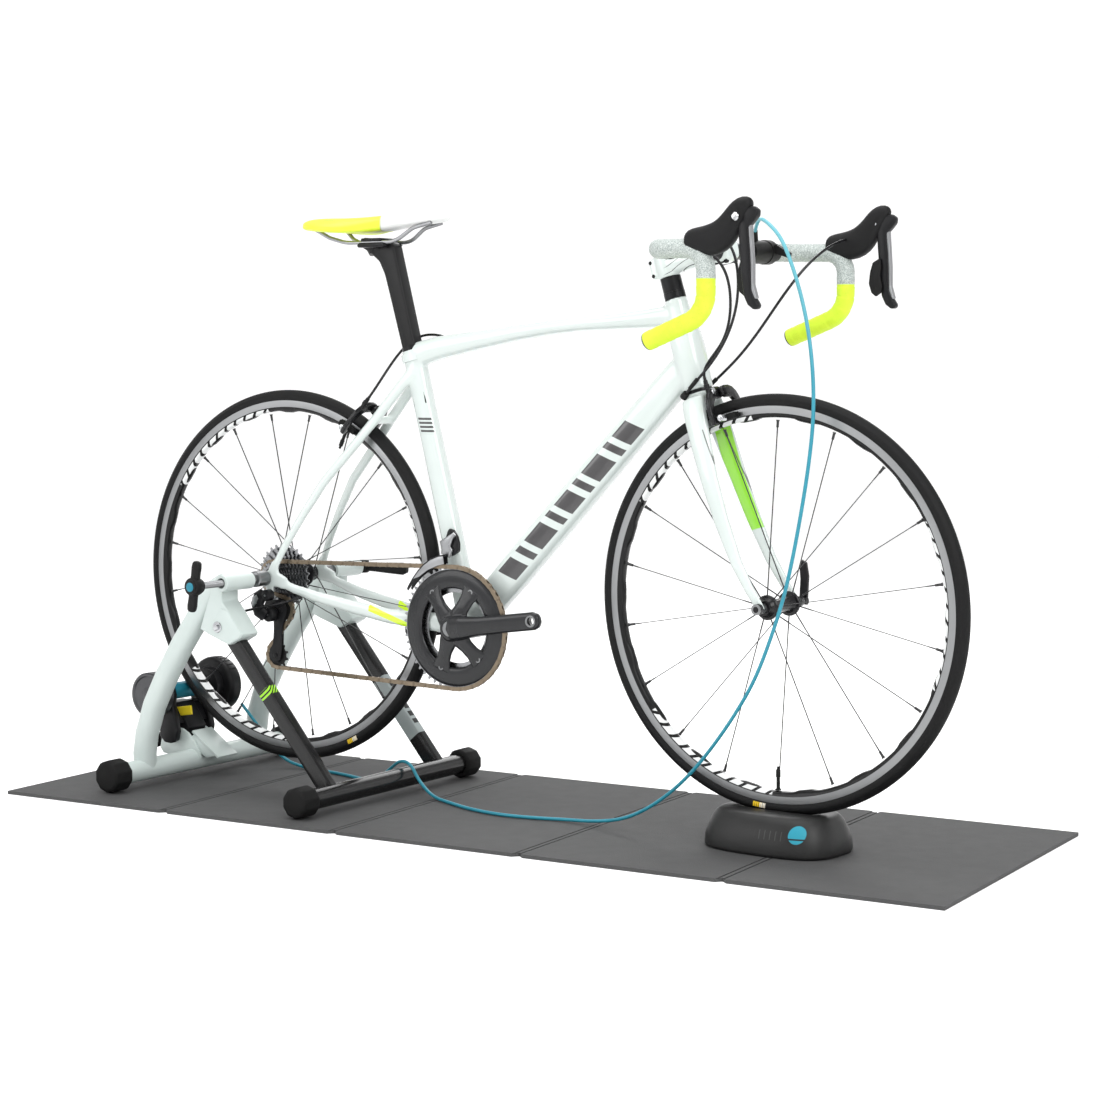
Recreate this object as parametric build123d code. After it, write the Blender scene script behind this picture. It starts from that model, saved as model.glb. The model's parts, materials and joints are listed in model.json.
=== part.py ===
from build123d import *
from math import asin, atan2, cos, hypot, pi, radians, sin, tan
import os

# Racing bicycle clamped in an indoor trainer, on a folding mat, front wheel in a riser block.
# Millimetres.  X runs forward, Y to the rider's left, Z up.  The origin is on the mat's
# underside, in the bicycle's middle plane, under the rear axle.

# ---------------------------------------------------------------- driving dimensions
RUN_GAP = 0.05            # radial clearance of a shaft in its bore
BODY_GAP = 0.3            # clearance between faces that pass each other

MAT_LENGTH, MAT_WIDTH, MAT_T = 1789.0, 612.0, 6.0
MAT_PANELS = 5
MAT_CENTRE = (484.5, 24.5)
MAT_TURN = 3.43           # the mat lies a little askew under the bicycle

WHEELBASE = 1002.0
REAR_AXLE_Z = 386.0       # heights are above the mat's top
FRONT_AXLE_Z = 390.0
TYRE_R, TYRE_SECTION_R = 336.0, 12.5
RIM_R, RIM_DEPTH, RIM_WIDTH, RIM_WALL = 317.0, 22.0, 19.6, 1.6
SPOKE_R, NIPPLE_R, NIPPLE_LENGTH = 1.0, 2.2, 11.0
FRONT_SPOKES, REAR_SPOKES = 18, 20
FRONT_HUB_WIDTH, REAR_HUB_WIDTH = 100.0, 130.0
AXLE_R = 5.0

HEAD_ANGLE, FORK_RAKE = 73.3, 45.0
STEER_REST = -3.1         # the bars rest turned slightly to the right
STEERER_R = 14.3
BB_X, BB_Z, BB_R, BB_WIDTH = 400.6, 319.3, 22.0, 68.0
SEAT_ANGLE, SEAT_TUBE_LENGTH = 75.6, 488.0
SEAT_TUBE_DEPTH, SEAT_TUBE_WIDTH, TUBE_WALL = 40.0, 32.0, 2.2
POST_R, POST_ABOVE, POST_BELOW = 13.6, 178.0, 120.0
DOWN_TUBE_DEPTH, DOWN_TUBE_WIDTH = 58.0, 46.0
HEAD_TUBE_TOP_R, HEAD_TUBE_FOOT_R = 18.5, 24.0
HEAD_TUBE_FOOT, HEAD_TUBE_TOP = 368.0, 521.0      # distances along the steering axis
STEM_AT, STEM_HEIGHT = 577.0, 40.0

BAR_R, BAR_CLAMP_R, BAR_WIDTH = 12.0, 15.9, 420.0
BAR_X, BAR_Z, BAR_REACH, BAR_DROP = 898.0, 951.0, 105.0, 140.0
BAR_BENDS, DROP_SLOPE = [42.0, 34.0, 48.0], 0.384
TAPE_T = 2.8
TAPE_FROM = BAR_WIDTH / 2 - 60.0

CHAIN_Y, PITCH = -48.0, 12.7
BIG_RING, SMALL_RING, DRIVEN_COG, PULLEY_TEETH = 52, 39, 14, 11
COGS = (12, 13, 14, 15, 17, 19, 21, 23, 25, 28)
COG_PITCH, COG_T = 3.95, 1.6
GUIDE_PULLEY, TENSION_PULLEY = (20.0, 328.0), (6.0, 245.0)
CRANK_LENGTH, CRANK_LIFT, CRANK_END_R = 172.5, 8.0, 14.0
PEDAL_HOLE_R = 7.1
SHIFT_TRAVEL = 3.0        # the front derailleur cage's slide

SLEEVE_R, SLEEVE_FROM, SLEEVE_TO = 15.0, 117.0, 193.0
SCREW_R, HANDLE_Y = 6.0, 263.0
LEG_R, LEG_Y = 21.0, 155.0
REAR_BAR_X, FRONT_BAR_X, FOOT_BAR_HALF = -220.0, 215.0, 235.0
REAR_BAR_R, FRONT_BAR_R = 19.5, 18.0
REAR_FOOT_R, FRONT_FOOT_R, FOOT_LENGTH = 30.0, 27.5, 42.0
PIVOT_XZ = (-22.0, 306.0)
ROLLER_ANGLE = 221.0      # where the roller meets the tyre, seen from the right side
ROLLER_R, FLYWHEEL_R, DRUM_R = 15.5, 42.0, 53.0
UNIT_PIVOT = (-258.0, 74.0)

RISER_LENGTH, RISER_WIDTH, RISER_HEIGHT, TYRE_LIFT = 236.0, 164.0, 62.0, 54.0

REMOTE_FROM, REMOTE_TO, REMOTE_R = 74.0, 140.0, 19.0
CABLE_R, HOUSING_R = 3.0, 2.3

# the remote's cable, as (x, height above the mat, y)
CABLE_ROUTE = [(920, 985, 62), (942, 1003, 30), (973, 998, -2), (1006, 972, -13), (1031, 929, -22),
               (1055, 874, -32), (1072, 818, -40), (1084, 756, -48), (1089, 690, -55), (1085, 622, -61),
               (1077, 554, -67), (1066, 486, -71), (1052, 418, -74), (1028, 348, -73), (998, 278, -70),
               (959, 219, -64), (916, 164, -57), (869, 112, -50), (822, 72, -43), (776, 42, -36),
               (728, 20, -28), (668, 8, -19), (600, 3.2, -12), (545, 3.2, -30), (486, 3.2, -38), (414, 3.2, -25),
               (352, 3.2, 2), (296, 4, 27), (257, 28, 38), (235, 55, 45), (203, 57, 55), (172, 36, 66),
               (132, 9, 79), (86, 3.2, 98), (32, 3.2, 117), (-31, 3.2, 128), (-92, 3.2, 137), (-136, 14, 136),
               (-170, 44, 131), (-196, 84, 122), (-222, 118, 112)]

BASE = (Align.CENTER, Align.CENTER, Align.MIN)
os.makedirs("parts", exist_ok=True)


# ---------------------------------------------------------------- helpers
def at(x, z, y=0.0):
    """A point given by its height above the mat's top."""
    return Vector(x, y, z + MAT_T)


def rod(start, end, radius, bore=0.0):
    """A round bar or tube from one point to another."""
    start, end = Vector(start), Vector(end)
    plane = Plane(origin=start, z_dir=end - start)
    length = (end - start).length
    solid = plane * Cylinder(radius, length, align=BASE)
    if bore:
        solid -= plane * Pos(0, 0, -1) * Cylinder(bore, length + 2, align=BASE)
    return solid


def cross(x, z, y_from, y_to, radius, bore=0.0):
    """A round bar or tube across the bicycle, along Y."""
    return rod(at(x, z, y_from), at(x, z, y_to), radius, bore)


def cone(start, end, r_start, r_end):
    """A round bar that changes radius along its length."""
    start, end = Vector(start), Vector(end)
    plane = Plane(origin=start, z_dir=end - start)
    return plane * Cone(r_start, r_end, (end - start).length, align=BASE)


def ring(profile, x, z):
    """Turns a closed (radius, y) profile about an axle at x, z."""
    face = make_face(Polyline(*profile, close=True))
    return Pos(at(x, z)) * revolve(face, Axis.Y, 360)


def plate(outline, y_from, y_to):
    """A flat plate with an (x, height) outline, between two Y values."""
    points = [(x, z + MAT_T) for x, z in outline]
    face = make_face(Plane.XZ.offset(-y_from) * Polyline(*points, close=True))
    return extrude(face, amount=y_to - y_from, dir=(0, 1, 0))


def swept(points, radii, radius, bore=0.0):
    """A round bar or tube along straight runs joined by arcs."""
    path = FilletPolyline(*points, radius=radii)
    mouth = Plane(origin=path @ 0, z_dir=path % 0)
    solid = sweep(mouth * Circle(radius), path=path)
    if bore:
        solid -= sweep(mouth * Circle(bore), path=path)
    return solid


def loose_radii(points):
    """The largest corner radii that the runs of a loose cord allow."""
    radii = []
    for before, here, after in zip(points, points[1:], points[2:]):
        run_in, run_out = Vector(here) - Vector(before), Vector(after) - Vector(here)
        turn = radians(run_in.get_angle(run_out))
        radii.append(0.45 * min(run_in.length, run_out.length) / tan(turn / 2))
    return radii


def oval(point, direction, depth, width):
    """An oval section across a tube that lies along the bicycle."""
    d = Vector(direction).normalized()
    plane = Plane(origin=point, x_dir=Vector(d.Z, 0, -d.X), z_dir=d)
    return plane * Ellipse(depth / 2, width / 2)


def boxed(point, direction, depth, width, corner):
    """A rounded rectangular section across a tube that lies along the bicycle."""
    d = Vector(direction).normalized()
    plane = Plane(origin=point, x_dir=Vector(d.Z, 0, -d.X), z_dir=d)
    return plane * RectangleRounded(depth, width, corner)


def both_sides(solid):
    """The piece and its mirror image on the other side of the bicycle."""
    return [solid, solid.mirror(Plane.XZ)]


def save(name, *solids):
    shape = solids[0] if len(solids) == 1 else Compound(children=list(solids))
    export_step(shape, f"parts/{name}.step")
    volume = sum(s.volume for s in solids)
    print(f"{name:24s} solids {len(solids):3d}  volume {volume:12.1f}")


# ---------------------------------------------------------------- steering
HEAD = radians(HEAD_ANGLE)
UP_AXIS = Vector(-cos(HEAD), 0, sin(HEAD))
FORE = Vector(sin(HEAD), 0, cos(HEAD))
AXIS_FOOT = at(WHEELBASE, FRONT_AXLE_Z) - FORE * FORK_RAKE
STEER_AXIS = Axis(AXIS_FOOT, UP_AXIS)
REACH_GROUND = (AXIS_FOOT.Z - MAT_T) / sin(HEAD)
RISER_PIVOT = AXIS_FOOT - UP_AXIS * REACH_GROUND


def on_axis(along, ahead=0.0, side=0.0):
    """A point by its distance along the steering axis and ahead of it."""
    return AXIS_FOOT + UP_AXIS * along + FORE * ahead + Vector(0, side, 0)


def steered(solid):
    return solid.rotate(STEER_AXIS, STEER_REST)


def save_steered(name, *solids):
    save(name, *[steered(s) for s in solids])


# ---------------------------------------------------------------- mat
def make_mat():
    panel = MAT_LENGTH / MAT_PANELS
    mat = Box(MAT_LENGTH, MAT_WIDTH, MAT_T, align=BASE)
    groove, notch = 3.0, 14.0
    for fold in range(1, MAT_PANELS):
        x = -MAT_LENGTH / 2 + fold * panel
        for shift in (-5.0, 5.0):
            mat -= Pos(x + shift, 0, MAT_T - 2.0) * Box(groove, MAT_WIDTH + 2, 4, align=BASE)
        for side in (-1, 1):
            mat -= Pos(x, side * MAT_WIDTH / 2, -1) * Rot(0, 0, 45) * Box(notch, notch, MAT_T + 2, align=BASE)
    placed = Pos(*MAT_CENTRE, 0) * Rot(0, 0, MAT_TURN) * mat
    save("folding_mat", placed)


# ---------------------------------------------------------------- trainer
def leg_line():
    return [at(-20, 380, LEG_Y), at(-125, 262, LEG_Y), at(REAR_BAR_X, REAR_FOOT_R, LEG_Y)]


def make_trainer():
    rear_bar = cross(REAR_BAR_X, REAR_FOOT_R, -FOOT_BAR_HALF, FOOT_BAR_HALF, REAR_BAR_R)
    front_bar = cross(FRONT_BAR_X, FRONT_FOOT_R, -FOOT_BAR_HALF, FOOT_BAR_HALF, FRONT_BAR_R)

    sleeve = cross(0, REAR_AXLE_Z, SLEEVE_FROM, SLEEVE_TO, SLEEVE_R, 9.0 + RUN_GAP)
    hollow = cross(0, REAR_AXLE_Z, SLEEVE_FROM, SLEEVE_TO, SLEEVE_R)
    cheek = plate([(-20, 400), (-6, 408), (12, 404), (22, 386), (18, 350), (16, 296), (-2, 276),
                   (-34, 280), (-52, 306), (-56, 344)], LEG_Y - 23, LEG_Y + 23)
    leg = swept(leg_line(), [260.0], LEG_R)
    leg -= cross(REAR_BAR_X, REAR_FOOT_R, 0, FOOT_BAR_HALF, REAR_BAR_R)
    leg -= cross(0, REAR_AXLE_Z, SLEEVE_FROM - 5, SLEEVE_TO + 5, SLEEVE_R)

    foot = Vector(FRONT_BAR_X, 0, FRONT_FOOT_R + MAT_T)
    head = Vector(PIVOT_XZ[0] + 6, 0, PIVOT_XZ[1] - 4 + MAT_T)
    slope = (foot - head).normalized()
    black = extrude(boxed(head + Vector(0, LEG_Y, 0), slope, 30, 22, 3), (foot - head).length)
    black -= cross(FRONT_BAR_X, FRONT_FOOT_R, 0, FOOT_BAR_HALF, FRONT_BAR_R)
    bolt = cross(*PIVOT_XZ, LEG_Y - 30, LEG_Y + 30, 5)
    bolt += cross(*PIVOT_XZ, LEG_Y + 23.5, LEG_Y + 31, 9)
    bolt += cross(*PIVOT_XZ, LEG_Y - 31, LEG_Y - 23.5, 9)
    black -= bolt
    socket = cheek - hollow - leg - black - bolt
    socket = max(socket.solids(), key=lambda s: s.volume)
    leg = max((leg - bolt).solids(), key=lambda s: s.volume)

    ear = plate([(-300, 46), (-296, 62), (-284, 78), (-262, 88), (-240, 85), (-222, 72), (-205, 52),
                 (-198, 34), (-240, 34), (-290, 40)], 26, 31)
    ear += plate([(-240, 62), (-217, 78), (-165, 41), (-190, 36)], 22, 26.5)
    ear -= cross(*UNIT_PIVOT, 20, 40, 6)
    shield = plate([(-218, 81), (-161, 41), (-164, 37), (-221, 77)], -26.5, 26.5)
    ear -= cross(REAR_BAR_X, REAR_FOOT_R, -60, 60, REAR_BAR_R)

    save("rear_leg_frame", rear_bar, shield - ear - ear.mirror(Plane.XZ), *both_sides(leg), *both_sides(ear))
    save("front_leg_frame", front_bar, *both_sides(black))
    save("axle_brackets", *both_sides(socket), *both_sides(sleeve), *both_sides(bolt))

    feet = []
    for x, bar_r, foot_r in ((REAR_BAR_X, REAR_BAR_R, REAR_FOOT_R), (FRONT_BAR_X, FRONT_BAR_R, FRONT_FOOT_R)):
        cap = cross(x, foot_r, FOOT_BAR_HALF - 18, FOOT_BAR_HALF + FOOT_LENGTH - 18, foot_r)
        cap -= cross(x, foot_r, FOOT_BAR_HALF - 19, FOOT_BAR_HALF, bar_r)
        feet += both_sides(cap)
    save("foot_caps", *feet)


def make_axle_clamps():
    """The two cups that grip the rear axle's ends: a screw on the right, a cam on the left."""
    cup = cross(0, REAR_AXLE_Z, 74, 103, 14) + cross(0, REAR_AXLE_Z, 103, 180, 9)
    cup -= cross(0, REAR_AXLE_Z, 73, 89, 9.4)
    screw = cross(0, REAR_AXLE_Z, -(HANDLE_Y - 12), -179, SCREW_R)
    right_cup = cup.mirror(Plane.XZ) + screw
    save("screw_clamp_cup", right_cup)

    hub = cross(0, REAR_AXLE_Z, -(HANDLE_Y + 10), -(HANDLE_Y - 16), 13)
    hub -= cross(0, REAR_AXLE_Z, -(HANDLE_Y - 11.7), -(HANDLE_Y - 17), SCREW_R + RUN_GAP)
    grip = rod(at(-6, REAR_AXLE_Z - 37, -HANDLE_Y), at(6, REAR_AXLE_Z + 37, -HANDLE_Y), 8)
    save("screw_clamp_handle", hub + grip)

    pull = cross(0, REAR_AXLE_Z, 179, 192, SCREW_R) + cross(0, REAR_AXLE_Z, 192, 211, 4)
    save("cam_clamp_cup", cup + pull)
    slot = rod(at(0, REAR_AXLE_Z - 4 - BODY_GAP, 207), at(0, REAR_AXLE_Z + 4 + BODY_GAP, 207), 16)
    cam = rod(at(0, REAR_AXLE_Z - 11, 207), at(0, REAR_AXLE_Z + 11, 207), 13)
    lever = plate([(8, REAR_AXLE_Z - 8), (14, REAR_AXLE_Z - 8), (100, REAR_AXLE_Z - 12), (108, REAR_AXLE_Z),
                   (100, REAR_AXLE_Z + 12), (14, REAR_AXLE_Z + 8), (8, REAR_AXLE_Z + 8)], 203, 213)
    save("cam_clamp_lever", cam + lever - slot)


# ---------------------------------------------------------------- resistance unit
def roller_centre():
    reach = TYRE_R + BODY_GAP + ROLLER_R
    return reach * cos(radians(ROLLER_ANGLE)), REAR_AXLE_Z + reach * sin(radians(ROLLER_ANGLE))


def make_resistance_unit():
    x, z = roller_centre()
    px, pz = UNIT_PIVOT
    shaft_r = 6.0
    roller = cross(x, z, -38, 38, ROLLER_R) + cross(x, z, -100, 74, shaft_r)
    flywheel = cross(x, z, -99, -72, FLYWHEEL_R)
    save("drive_roller", roller + flywheel)

    bore = cross(x, z, -70, 62, shaft_r + RUN_GAP)
    cheek = plate([(x - 24, z - 20), (x - 26, z + 6), (x - 12, z + 22), (x + 8, z + 20), (x + 20, z - 6),
                   (px + 20, pz + 4), (px + 12, pz - 12), (px - 12, pz - 12), (px - 22, pz + 6)], 40, 54)
    cradle = plate([(x - 30, z - ROLLER_R - 6), (x + 4, z - ROLLER_R - 6), (px + 26, pz + 12), (px + 14, pz - 8),
                    (px - 14, pz - 8), (px - 26, pz + 6)], -22, 22)
    wings = []
    for wing in both_sides(cheek):
        wings.append(wing - bore)
    web = plate([(x - 30, z - ROLLER_R - 8), (x + 2, z - ROLLER_R - 8), (px + 12, pz + 22),
                 (px - 20, pz + 22)], -54, 54)
    pin = cross(px, pz, -34, 34, 6 - RUN_GAP)
    housing = cradle + web + wings[0] + wings[1] + pin
    drum = cross(x, z, 76, 108, DRUM_R) - cross(x, z, 75, 101, DRUM_R - 4)
    drum += cross(x, z, 54, 76.5, 34) + cross(x, z, 75, 79, DRUM_R - 2)
    housing += drum - cross(x, z, 50, 80, shaft_r + RUN_GAP)
    end, before = at(*CABLE_ROUTE[-1]), at(*CABLE_ROUTE[-2])
    along = (end - before).normalized()
    housing += cone(end + along * BODY_GAP, end + along * 30, 4.5, 9) - cross(x, z, 40, 80, shaft_r + RUN_GAP)
    housing = max(housing.solids(), key=lambda s: s.volume)
    thread = rod(at(px - 10, pz - 4), at(px - 64, pz - 18), 4.0)
    save("resistance_housing", housing + thread)

    knob_in, knob_out = at(px - 68, pz - 19), at(px - 92, pz - 25.2)
    knob = rod(knob_in, knob_out, 15)
    for lobe in range(6):
        turn = lobe * 60.0
        axis = Axis(knob_in, knob_out - knob_in)
        cut = rod(knob_in + Vector(2, 17.5, 0), knob_out + Vector(-2, 17.5, 0), 5)
        knob -= cut.rotate(axis, turn)
    save("tension_knob", knob)


# ---------------------------------------------------------------- bicycle frame
SEAT = radians(SEAT_ANGLE)
SEAT_DIR = Vector(-cos(SEAT), 0, sin(SEAT))
BB = at(BB_X, BB_Z)


def on_seat_tube(along):
    return BB + SEAT_DIR * along


def frame_envelopes():
    """Outer shapes of the tubes that the others are cut to fit."""
    head = cone(on_axis(HEAD_TUBE_FOOT), on_axis(HEAD_TUBE_TOP), HEAD_TUBE_FOOT_R, HEAD_TUBE_TOP_R)
    shell = cross(BB_X, BB_Z, -BB_WIDTH / 2, BB_WIDTH / 2, BB_R)
    seat = extrude(oval(on_seat_tube(0), SEAT_DIR, SEAT_TUBE_DEPTH, SEAT_TUBE_WIDTH), SEAT_TUBE_LENGTH)
    return head, shell, seat


def lofted(stations, section, *sizes):
    faces = [section(point, direction, *size) for (point, direction), size in zip(stations, zip(*sizes))]
    return loft(faces)


def make_frame():
    head, shell, seat = frame_envelopes()
    bore = rod(on_axis(HEAD_TUBE_FOOT - 5), on_axis(HEAD_TUBE_TOP + 5), STEERER_R + 1.2)
    save("head_tube", head - bore)

    cups = []
    for low, high, r in ((HEAD_TUBE_TOP, HEAD_TUBE_TOP + 11, 17.5), (HEAD_TUBE_FOOT - 4, HEAD_TUBE_FOOT, 22.0)):
        cups.append(rod(on_axis(low), on_axis(high), r, STEERER_R + RUN_GAP))
    collar_low = on_seat_tube(SEAT_TUBE_LENGTH)
    collar = extrude(oval(collar_low, SEAT_DIR, SEAT_TUBE_DEPTH, SEAT_TUBE_WIDTH), 9)
    collar -= rod(collar_low, on_seat_tube(SEAT_TUBE_LENGTH + 10), POST_R + RUN_GAP)
    cup_l = cross(BB_X, BB_Z, BB_WIDTH / 2, BB_WIDTH / 2 + 6, BB_R - 1, 12 + RUN_GAP)
    shell_tube = shell - cross(BB_X, BB_Z, -40, 40, BB_R - 4)
    save("bearing_shells_and_collar", *cups, collar, shell_tube, *both_sides(cup_l))

    post_hole = rod(on_seat_tube(SEAT_TUBE_LENGTH - POST_BELOW - 90), on_seat_tube(SEAT_TUBE_LENGTH + 1),
                    POST_R + RUN_GAP)
    inner = extrude(oval(on_seat_tube(60), SEAT_DIR, SEAT_TUBE_DEPTH - 2 * TUBE_WALL,
                         SEAT_TUBE_WIDTH - 2 * TUBE_WALL), SEAT_TUBE_LENGTH - POST_BELOW - 150)
    save("seat_tube", seat - shell - post_hole - inner)

    low, high = at(BB_X + 4, BB_Z + 6), on_axis(HEAD_TUBE_FOOT + 46)
    run = (high - low).normalized()
    down = extrude(boxed(low, run, DOWN_TUBE_DEPTH, DOWN_TUBE_WIDTH, 14), (high - low).length)
    hollow = extrude(boxed(low + run * 60, run, DOWN_TUBE_DEPTH - 2 * TUBE_WALL,
                           DOWN_TUBE_WIDTH - 2 * TUBE_WALL, 12), (high - low).length - 110)
    down = down - shell - seat - head - hollow
    down = max(down.solids(), key=lambda s: s.volume)
    save("down_tube", down)

    back, mid_1, mid_2, front = at(276, 783), at(432, 812), at(600, 832), on_axis(HEAD_TUBE_TOP - 24)
    stations = [(back, mid_1 - back), (mid_1, mid_2 - back), (mid_2, front - mid_1), (front, front - mid_2)]
    top = lofted(stations, oval, (40, 34, 30, 36), (34, 36, 38, 38))
    room = extrude(oval(on_seat_tube(0), SEAT_DIR, SEAT_TUBE_DEPTH, SEAT_TUBE_WIDTH), SEAT_TUBE_LENGTH + 80)
    top = top - head - room - down
    top = max(top.solids(), key=lambda s: s.volume)
    save("top_tube", top)

    make_stays(seat, shell, down, top)


def make_stays(seat, shell, down, top):
    axle_y = REAR_HUB_WIDTH / 2
    drop_x, drop_z = 16.0, REAR_AXLE_Z + 6
    root = at(BB_X - 20, BB_Z + 8, 24)
    bend = at(250, 330, 38)
    tip = at(34, REAR_AXLE_Z - 8, axle_y + 3)
    chain = lofted([(root, bend - root), (bend, tip - root), (tip, tip - bend)], oval, (34, 26, 18), (16, 16, 9))
    chain = chain - shell - seat - down
    chain = max(chain.solids(), key=lambda s: s.volume)

    top_end = at(281, 746, 15)
    knee = at(111, 561, 40)
    low_end = at(drop_x, drop_z + 16, axle_y + 4)
    seatstay = lofted([(low_end, knee - low_end), (knee, top_end - low_end), (top_end, top_end - knee)],
                      oval, (16, 18, 20), (11, 13, 13))
    seatstay = seatstay - seat - top
    seatstay = max(seatstay.solids(), key=lambda s: s.volume)

    ear = plate([(-12, REAR_AXLE_Z + 2), (-8, REAR_AXLE_Z - 10), (6, REAR_AXLE_Z - 14), (40, REAR_AXLE_Z - 18),
                 (44, REAR_AXLE_Z + 2), (22, REAR_AXLE_Z + 10), (26, REAR_AXLE_Z + 34), (12, REAR_AXLE_Z + 34),
                 (2, REAR_AXLE_Z + 13), (-9, REAR_AXLE_Z + 11)], axle_y, axle_y + 6)
    ear -= cross(0, REAR_AXLE_Z, axle_y - 2, axle_y + 12, AXLE_R)
    hanger = plate([(-6, REAR_AXLE_Z - 10.2), (12, REAR_AXLE_Z - 14.4), (16, REAR_AXLE_Z - 38),
                    (4, REAR_AXLE_Z - 40)], -axle_y - 6, -axle_y)
    right_ear = ear.mirror(Plane.XZ) + hanger
    chain -= ear
    seatstay -= ear
    save("chainstays_and_dropouts", *both_sides(chain), ear, right_ear)

    bridge = rod(*[Vector(BRIDGE.X, y, BRIDGE.Z) for y in (-18, 18)], 7)
    bridge = bridge - seatstay - seatstay.mirror(Plane.XZ)
    bridge = max(bridge.solids(), key=lambda s: s.volume)
    bolt = rod(BRIDGE - BRIDGE_OUT * 12, BRIDGE + BRIDGE_OUT * 41, 3)
    save("seatstays_and_bridge", *both_sides(seatstay), bridge - bolt, bolt)

    hub_end = REAR_HUB_WIDTH / 2
    axle = cross(0, REAR_AXLE_Z, -hub_end - 5.9, hub_end + 5.9, AXLE_R)
    for side in (-1, 1):
        axle += cross(0, REAR_AXLE_Z, side * (hub_end + 6), side * (hub_end + 22), 8.6)
        axle += cross(0, REAR_AXLE_Z, side * (hub_end - 0.1), side * (hub_end + 8), 3)
        axle += cross(0, REAR_AXLE_Z, side * (hub_end - 5), side * hub_end, 8)
    save("rear_axle", axle)


BRIDGE = at(211, 671)
REAR_PAD_TILT = 13.5
BRIDGE_OUT = Vector(-0.743, 0, 0.669)


# ---------------------------------------------------------------- wheels
def make_wheel(name, x, z, spokes, flange_r, right_flange, left_flange, crossed, place):
    shoulder = RIM_R - 9.0
    half = RIM_WIDTH / 2
    outer = [(RIM_R, half), (RIM_R, half - RIM_WALL), (shoulder, half - RIM_WALL), (shoulder, -half + RIM_WALL),
             (RIM_R, -half + RIM_WALL), (RIM_R, -half), (RIM_R - 12, -half), (RIM_R - RIM_DEPTH, -5),
             (RIM_R - RIM_DEPTH, 5), (RIM_R - 12, half)]
    rim = ring(outer, x, z)
    cavity = [(shoulder - 2, half - RIM_WALL), (shoulder - 2, -half + RIM_WALL), (RIM_R - 12, -half + RIM_WALL),
              (RIM_R - RIM_DEPTH + 2.4, -4), (RIM_R - RIM_DEPTH + 2.4, 4), (RIM_R - 12, half - RIM_WALL)]
    rim -= ring(cavity, x, z)

    mid_r = TYRE_R - TYRE_SECTION_R
    tube = Pos(at(x, z)) * revolve(Pos(mid_r, 0, 0) * (Circle(TYRE_SECTION_R) - Circle(TYRE_SECTION_R - 2.4)),
                                   Axis.Y, 360)
    band = [(RIM_R, half + 5), (RIM_R, -half - 5), (RIM_R - 14, -half - 5), (RIM_R - 14, half + 5)]
    bead = [(RIM_R, half - RIM_WALL), (RIM_R, half - RIM_WALL - 2.6), (shoulder, half - RIM_WALL - 2.6),
            (shoulder, half - RIM_WALL)]
    tyre = tube - ring(band, x, z)
    for side in (1, -1):
        tyre += ring([(r, side * y) for r, y in bead], x, z)

    strands = []
    hub_flanges = (right_flange, left_flange)
    seat_r = RIM_R - RIM_DEPTH - BODY_GAP
    for n in range(spokes):
        y_hub = hub_flanges[n % 2] + (1.6 if n % 4 < 2 else -1.6) * crossed(n)
        angle = 2 * pi * n / spokes + pi / spokes
        lean = (0.95 if n % 4 < 2 else -0.95) if crossed(n) else 0.0
        rim_end = at(x + seat_r * cos(angle), z + seat_r * sin(angle), y_hub / 30)
        hub_end = at(x + flange_r * cos(angle + lean), z + flange_r * sin(angle + lean), y_hub)
        along = (hub_end - rim_end).normalized()
        strands.append(rod(hub_end, rim_end, SPOKE_R) + rod(rim_end + along * NIPPLE_LENGTH, rim_end, NIPPLE_R))
    for label, solids in (("tyre", [tyre]), ("rim", [rim]), ("spokes", strands)):
        save(f"{name}_{label}", *[place(s) for s in solids])


def make_wheels():
    half = FRONT_HUB_WIDTH / 2
    x, z = WHEELBASE, FRONT_AXLE_Z
    flange_r, flange_y = 19.0, 33.0
    make_wheel("front", x, z, FRONT_SPOKES, flange_r + 1 + BODY_GAP, -flange_y, flange_y, lambda n: False, steered)
    hub = cross(x, z, -half + 5.3, half - 5.3, 12)
    for side in (-1, 1):
        hub += cross(x, z, side * (flange_y - 1.5), side * (flange_y + 1.5), flange_r + 1)
        hub += cone(at(x, z, side * (flange_y + 1)), at(x, z, side * (half - 8)), 16, 12)
        hub += cone(at(x, z, side * (flange_y - 1)), at(x, z, side * (flange_y - 12)), 15, 11)
    hub -= cross(x, z, -half, half, AXLE_R + RUN_GAP)
    save_steered("front_hub", hub)

    axle = cross(x, z, -half - 7.9, half + 7.9, AXLE_R)
    for side in (-1, 1):
        axle += cross(x, z, side * (half - 5), side * half, 8)
        axle += cross(x, z, side * (half + 8.3), side * (half + 18), 8.5)
        axle += cross(x, z, side * (half - 1), side * (half + 10), 3)
    save_steered("front_axle", axle)

    # quick-release lever, closed upwards along the fork blade
    hub_y = half + 24.5
    boss = rod(at(x - 9, z, hub_y), at(x + 9, z, hub_y), 6)
    arm = plate([(x - 7, z + 4), (x + 7, z + 4), (x + 9, z + 40), (x + 5, z + 62), (x - 3, z + 66),
                 (x - 7, z + 58), (x - 5, z + 36)], hub_y + 2, hub_y + 7)
    save_steered("front_release_lever", boss + arm)

    half = REAR_HUB_WIDTH / 2
    right, left, flange_r = -14.0, 36.0, 23.0
    make_wheel("rear", 0, REAR_AXLE_Z, REAR_SPOKES, flange_r + 1, right, left, lambda n: True, lambda s: s)
    hub = cross(0, REAR_AXLE_Z, right - 2.5, half - 5.3, 15)
    hub += cross(0, REAR_AXLE_Z, left - 1.5, left + 1.5, flange_r)
    hub += cross(0, REAR_AXLE_Z, right - 1.5, right + 1.5, flange_r)
    hub += cone(at(0, REAR_AXLE_Z, right), at(0, REAR_AXLE_Z, right + 14), 20, 14)
    hub -= cross(0, REAR_AXLE_Z, -half, half, AXLE_R + RUN_GAP)
    save("rear_hub", hub)


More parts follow.
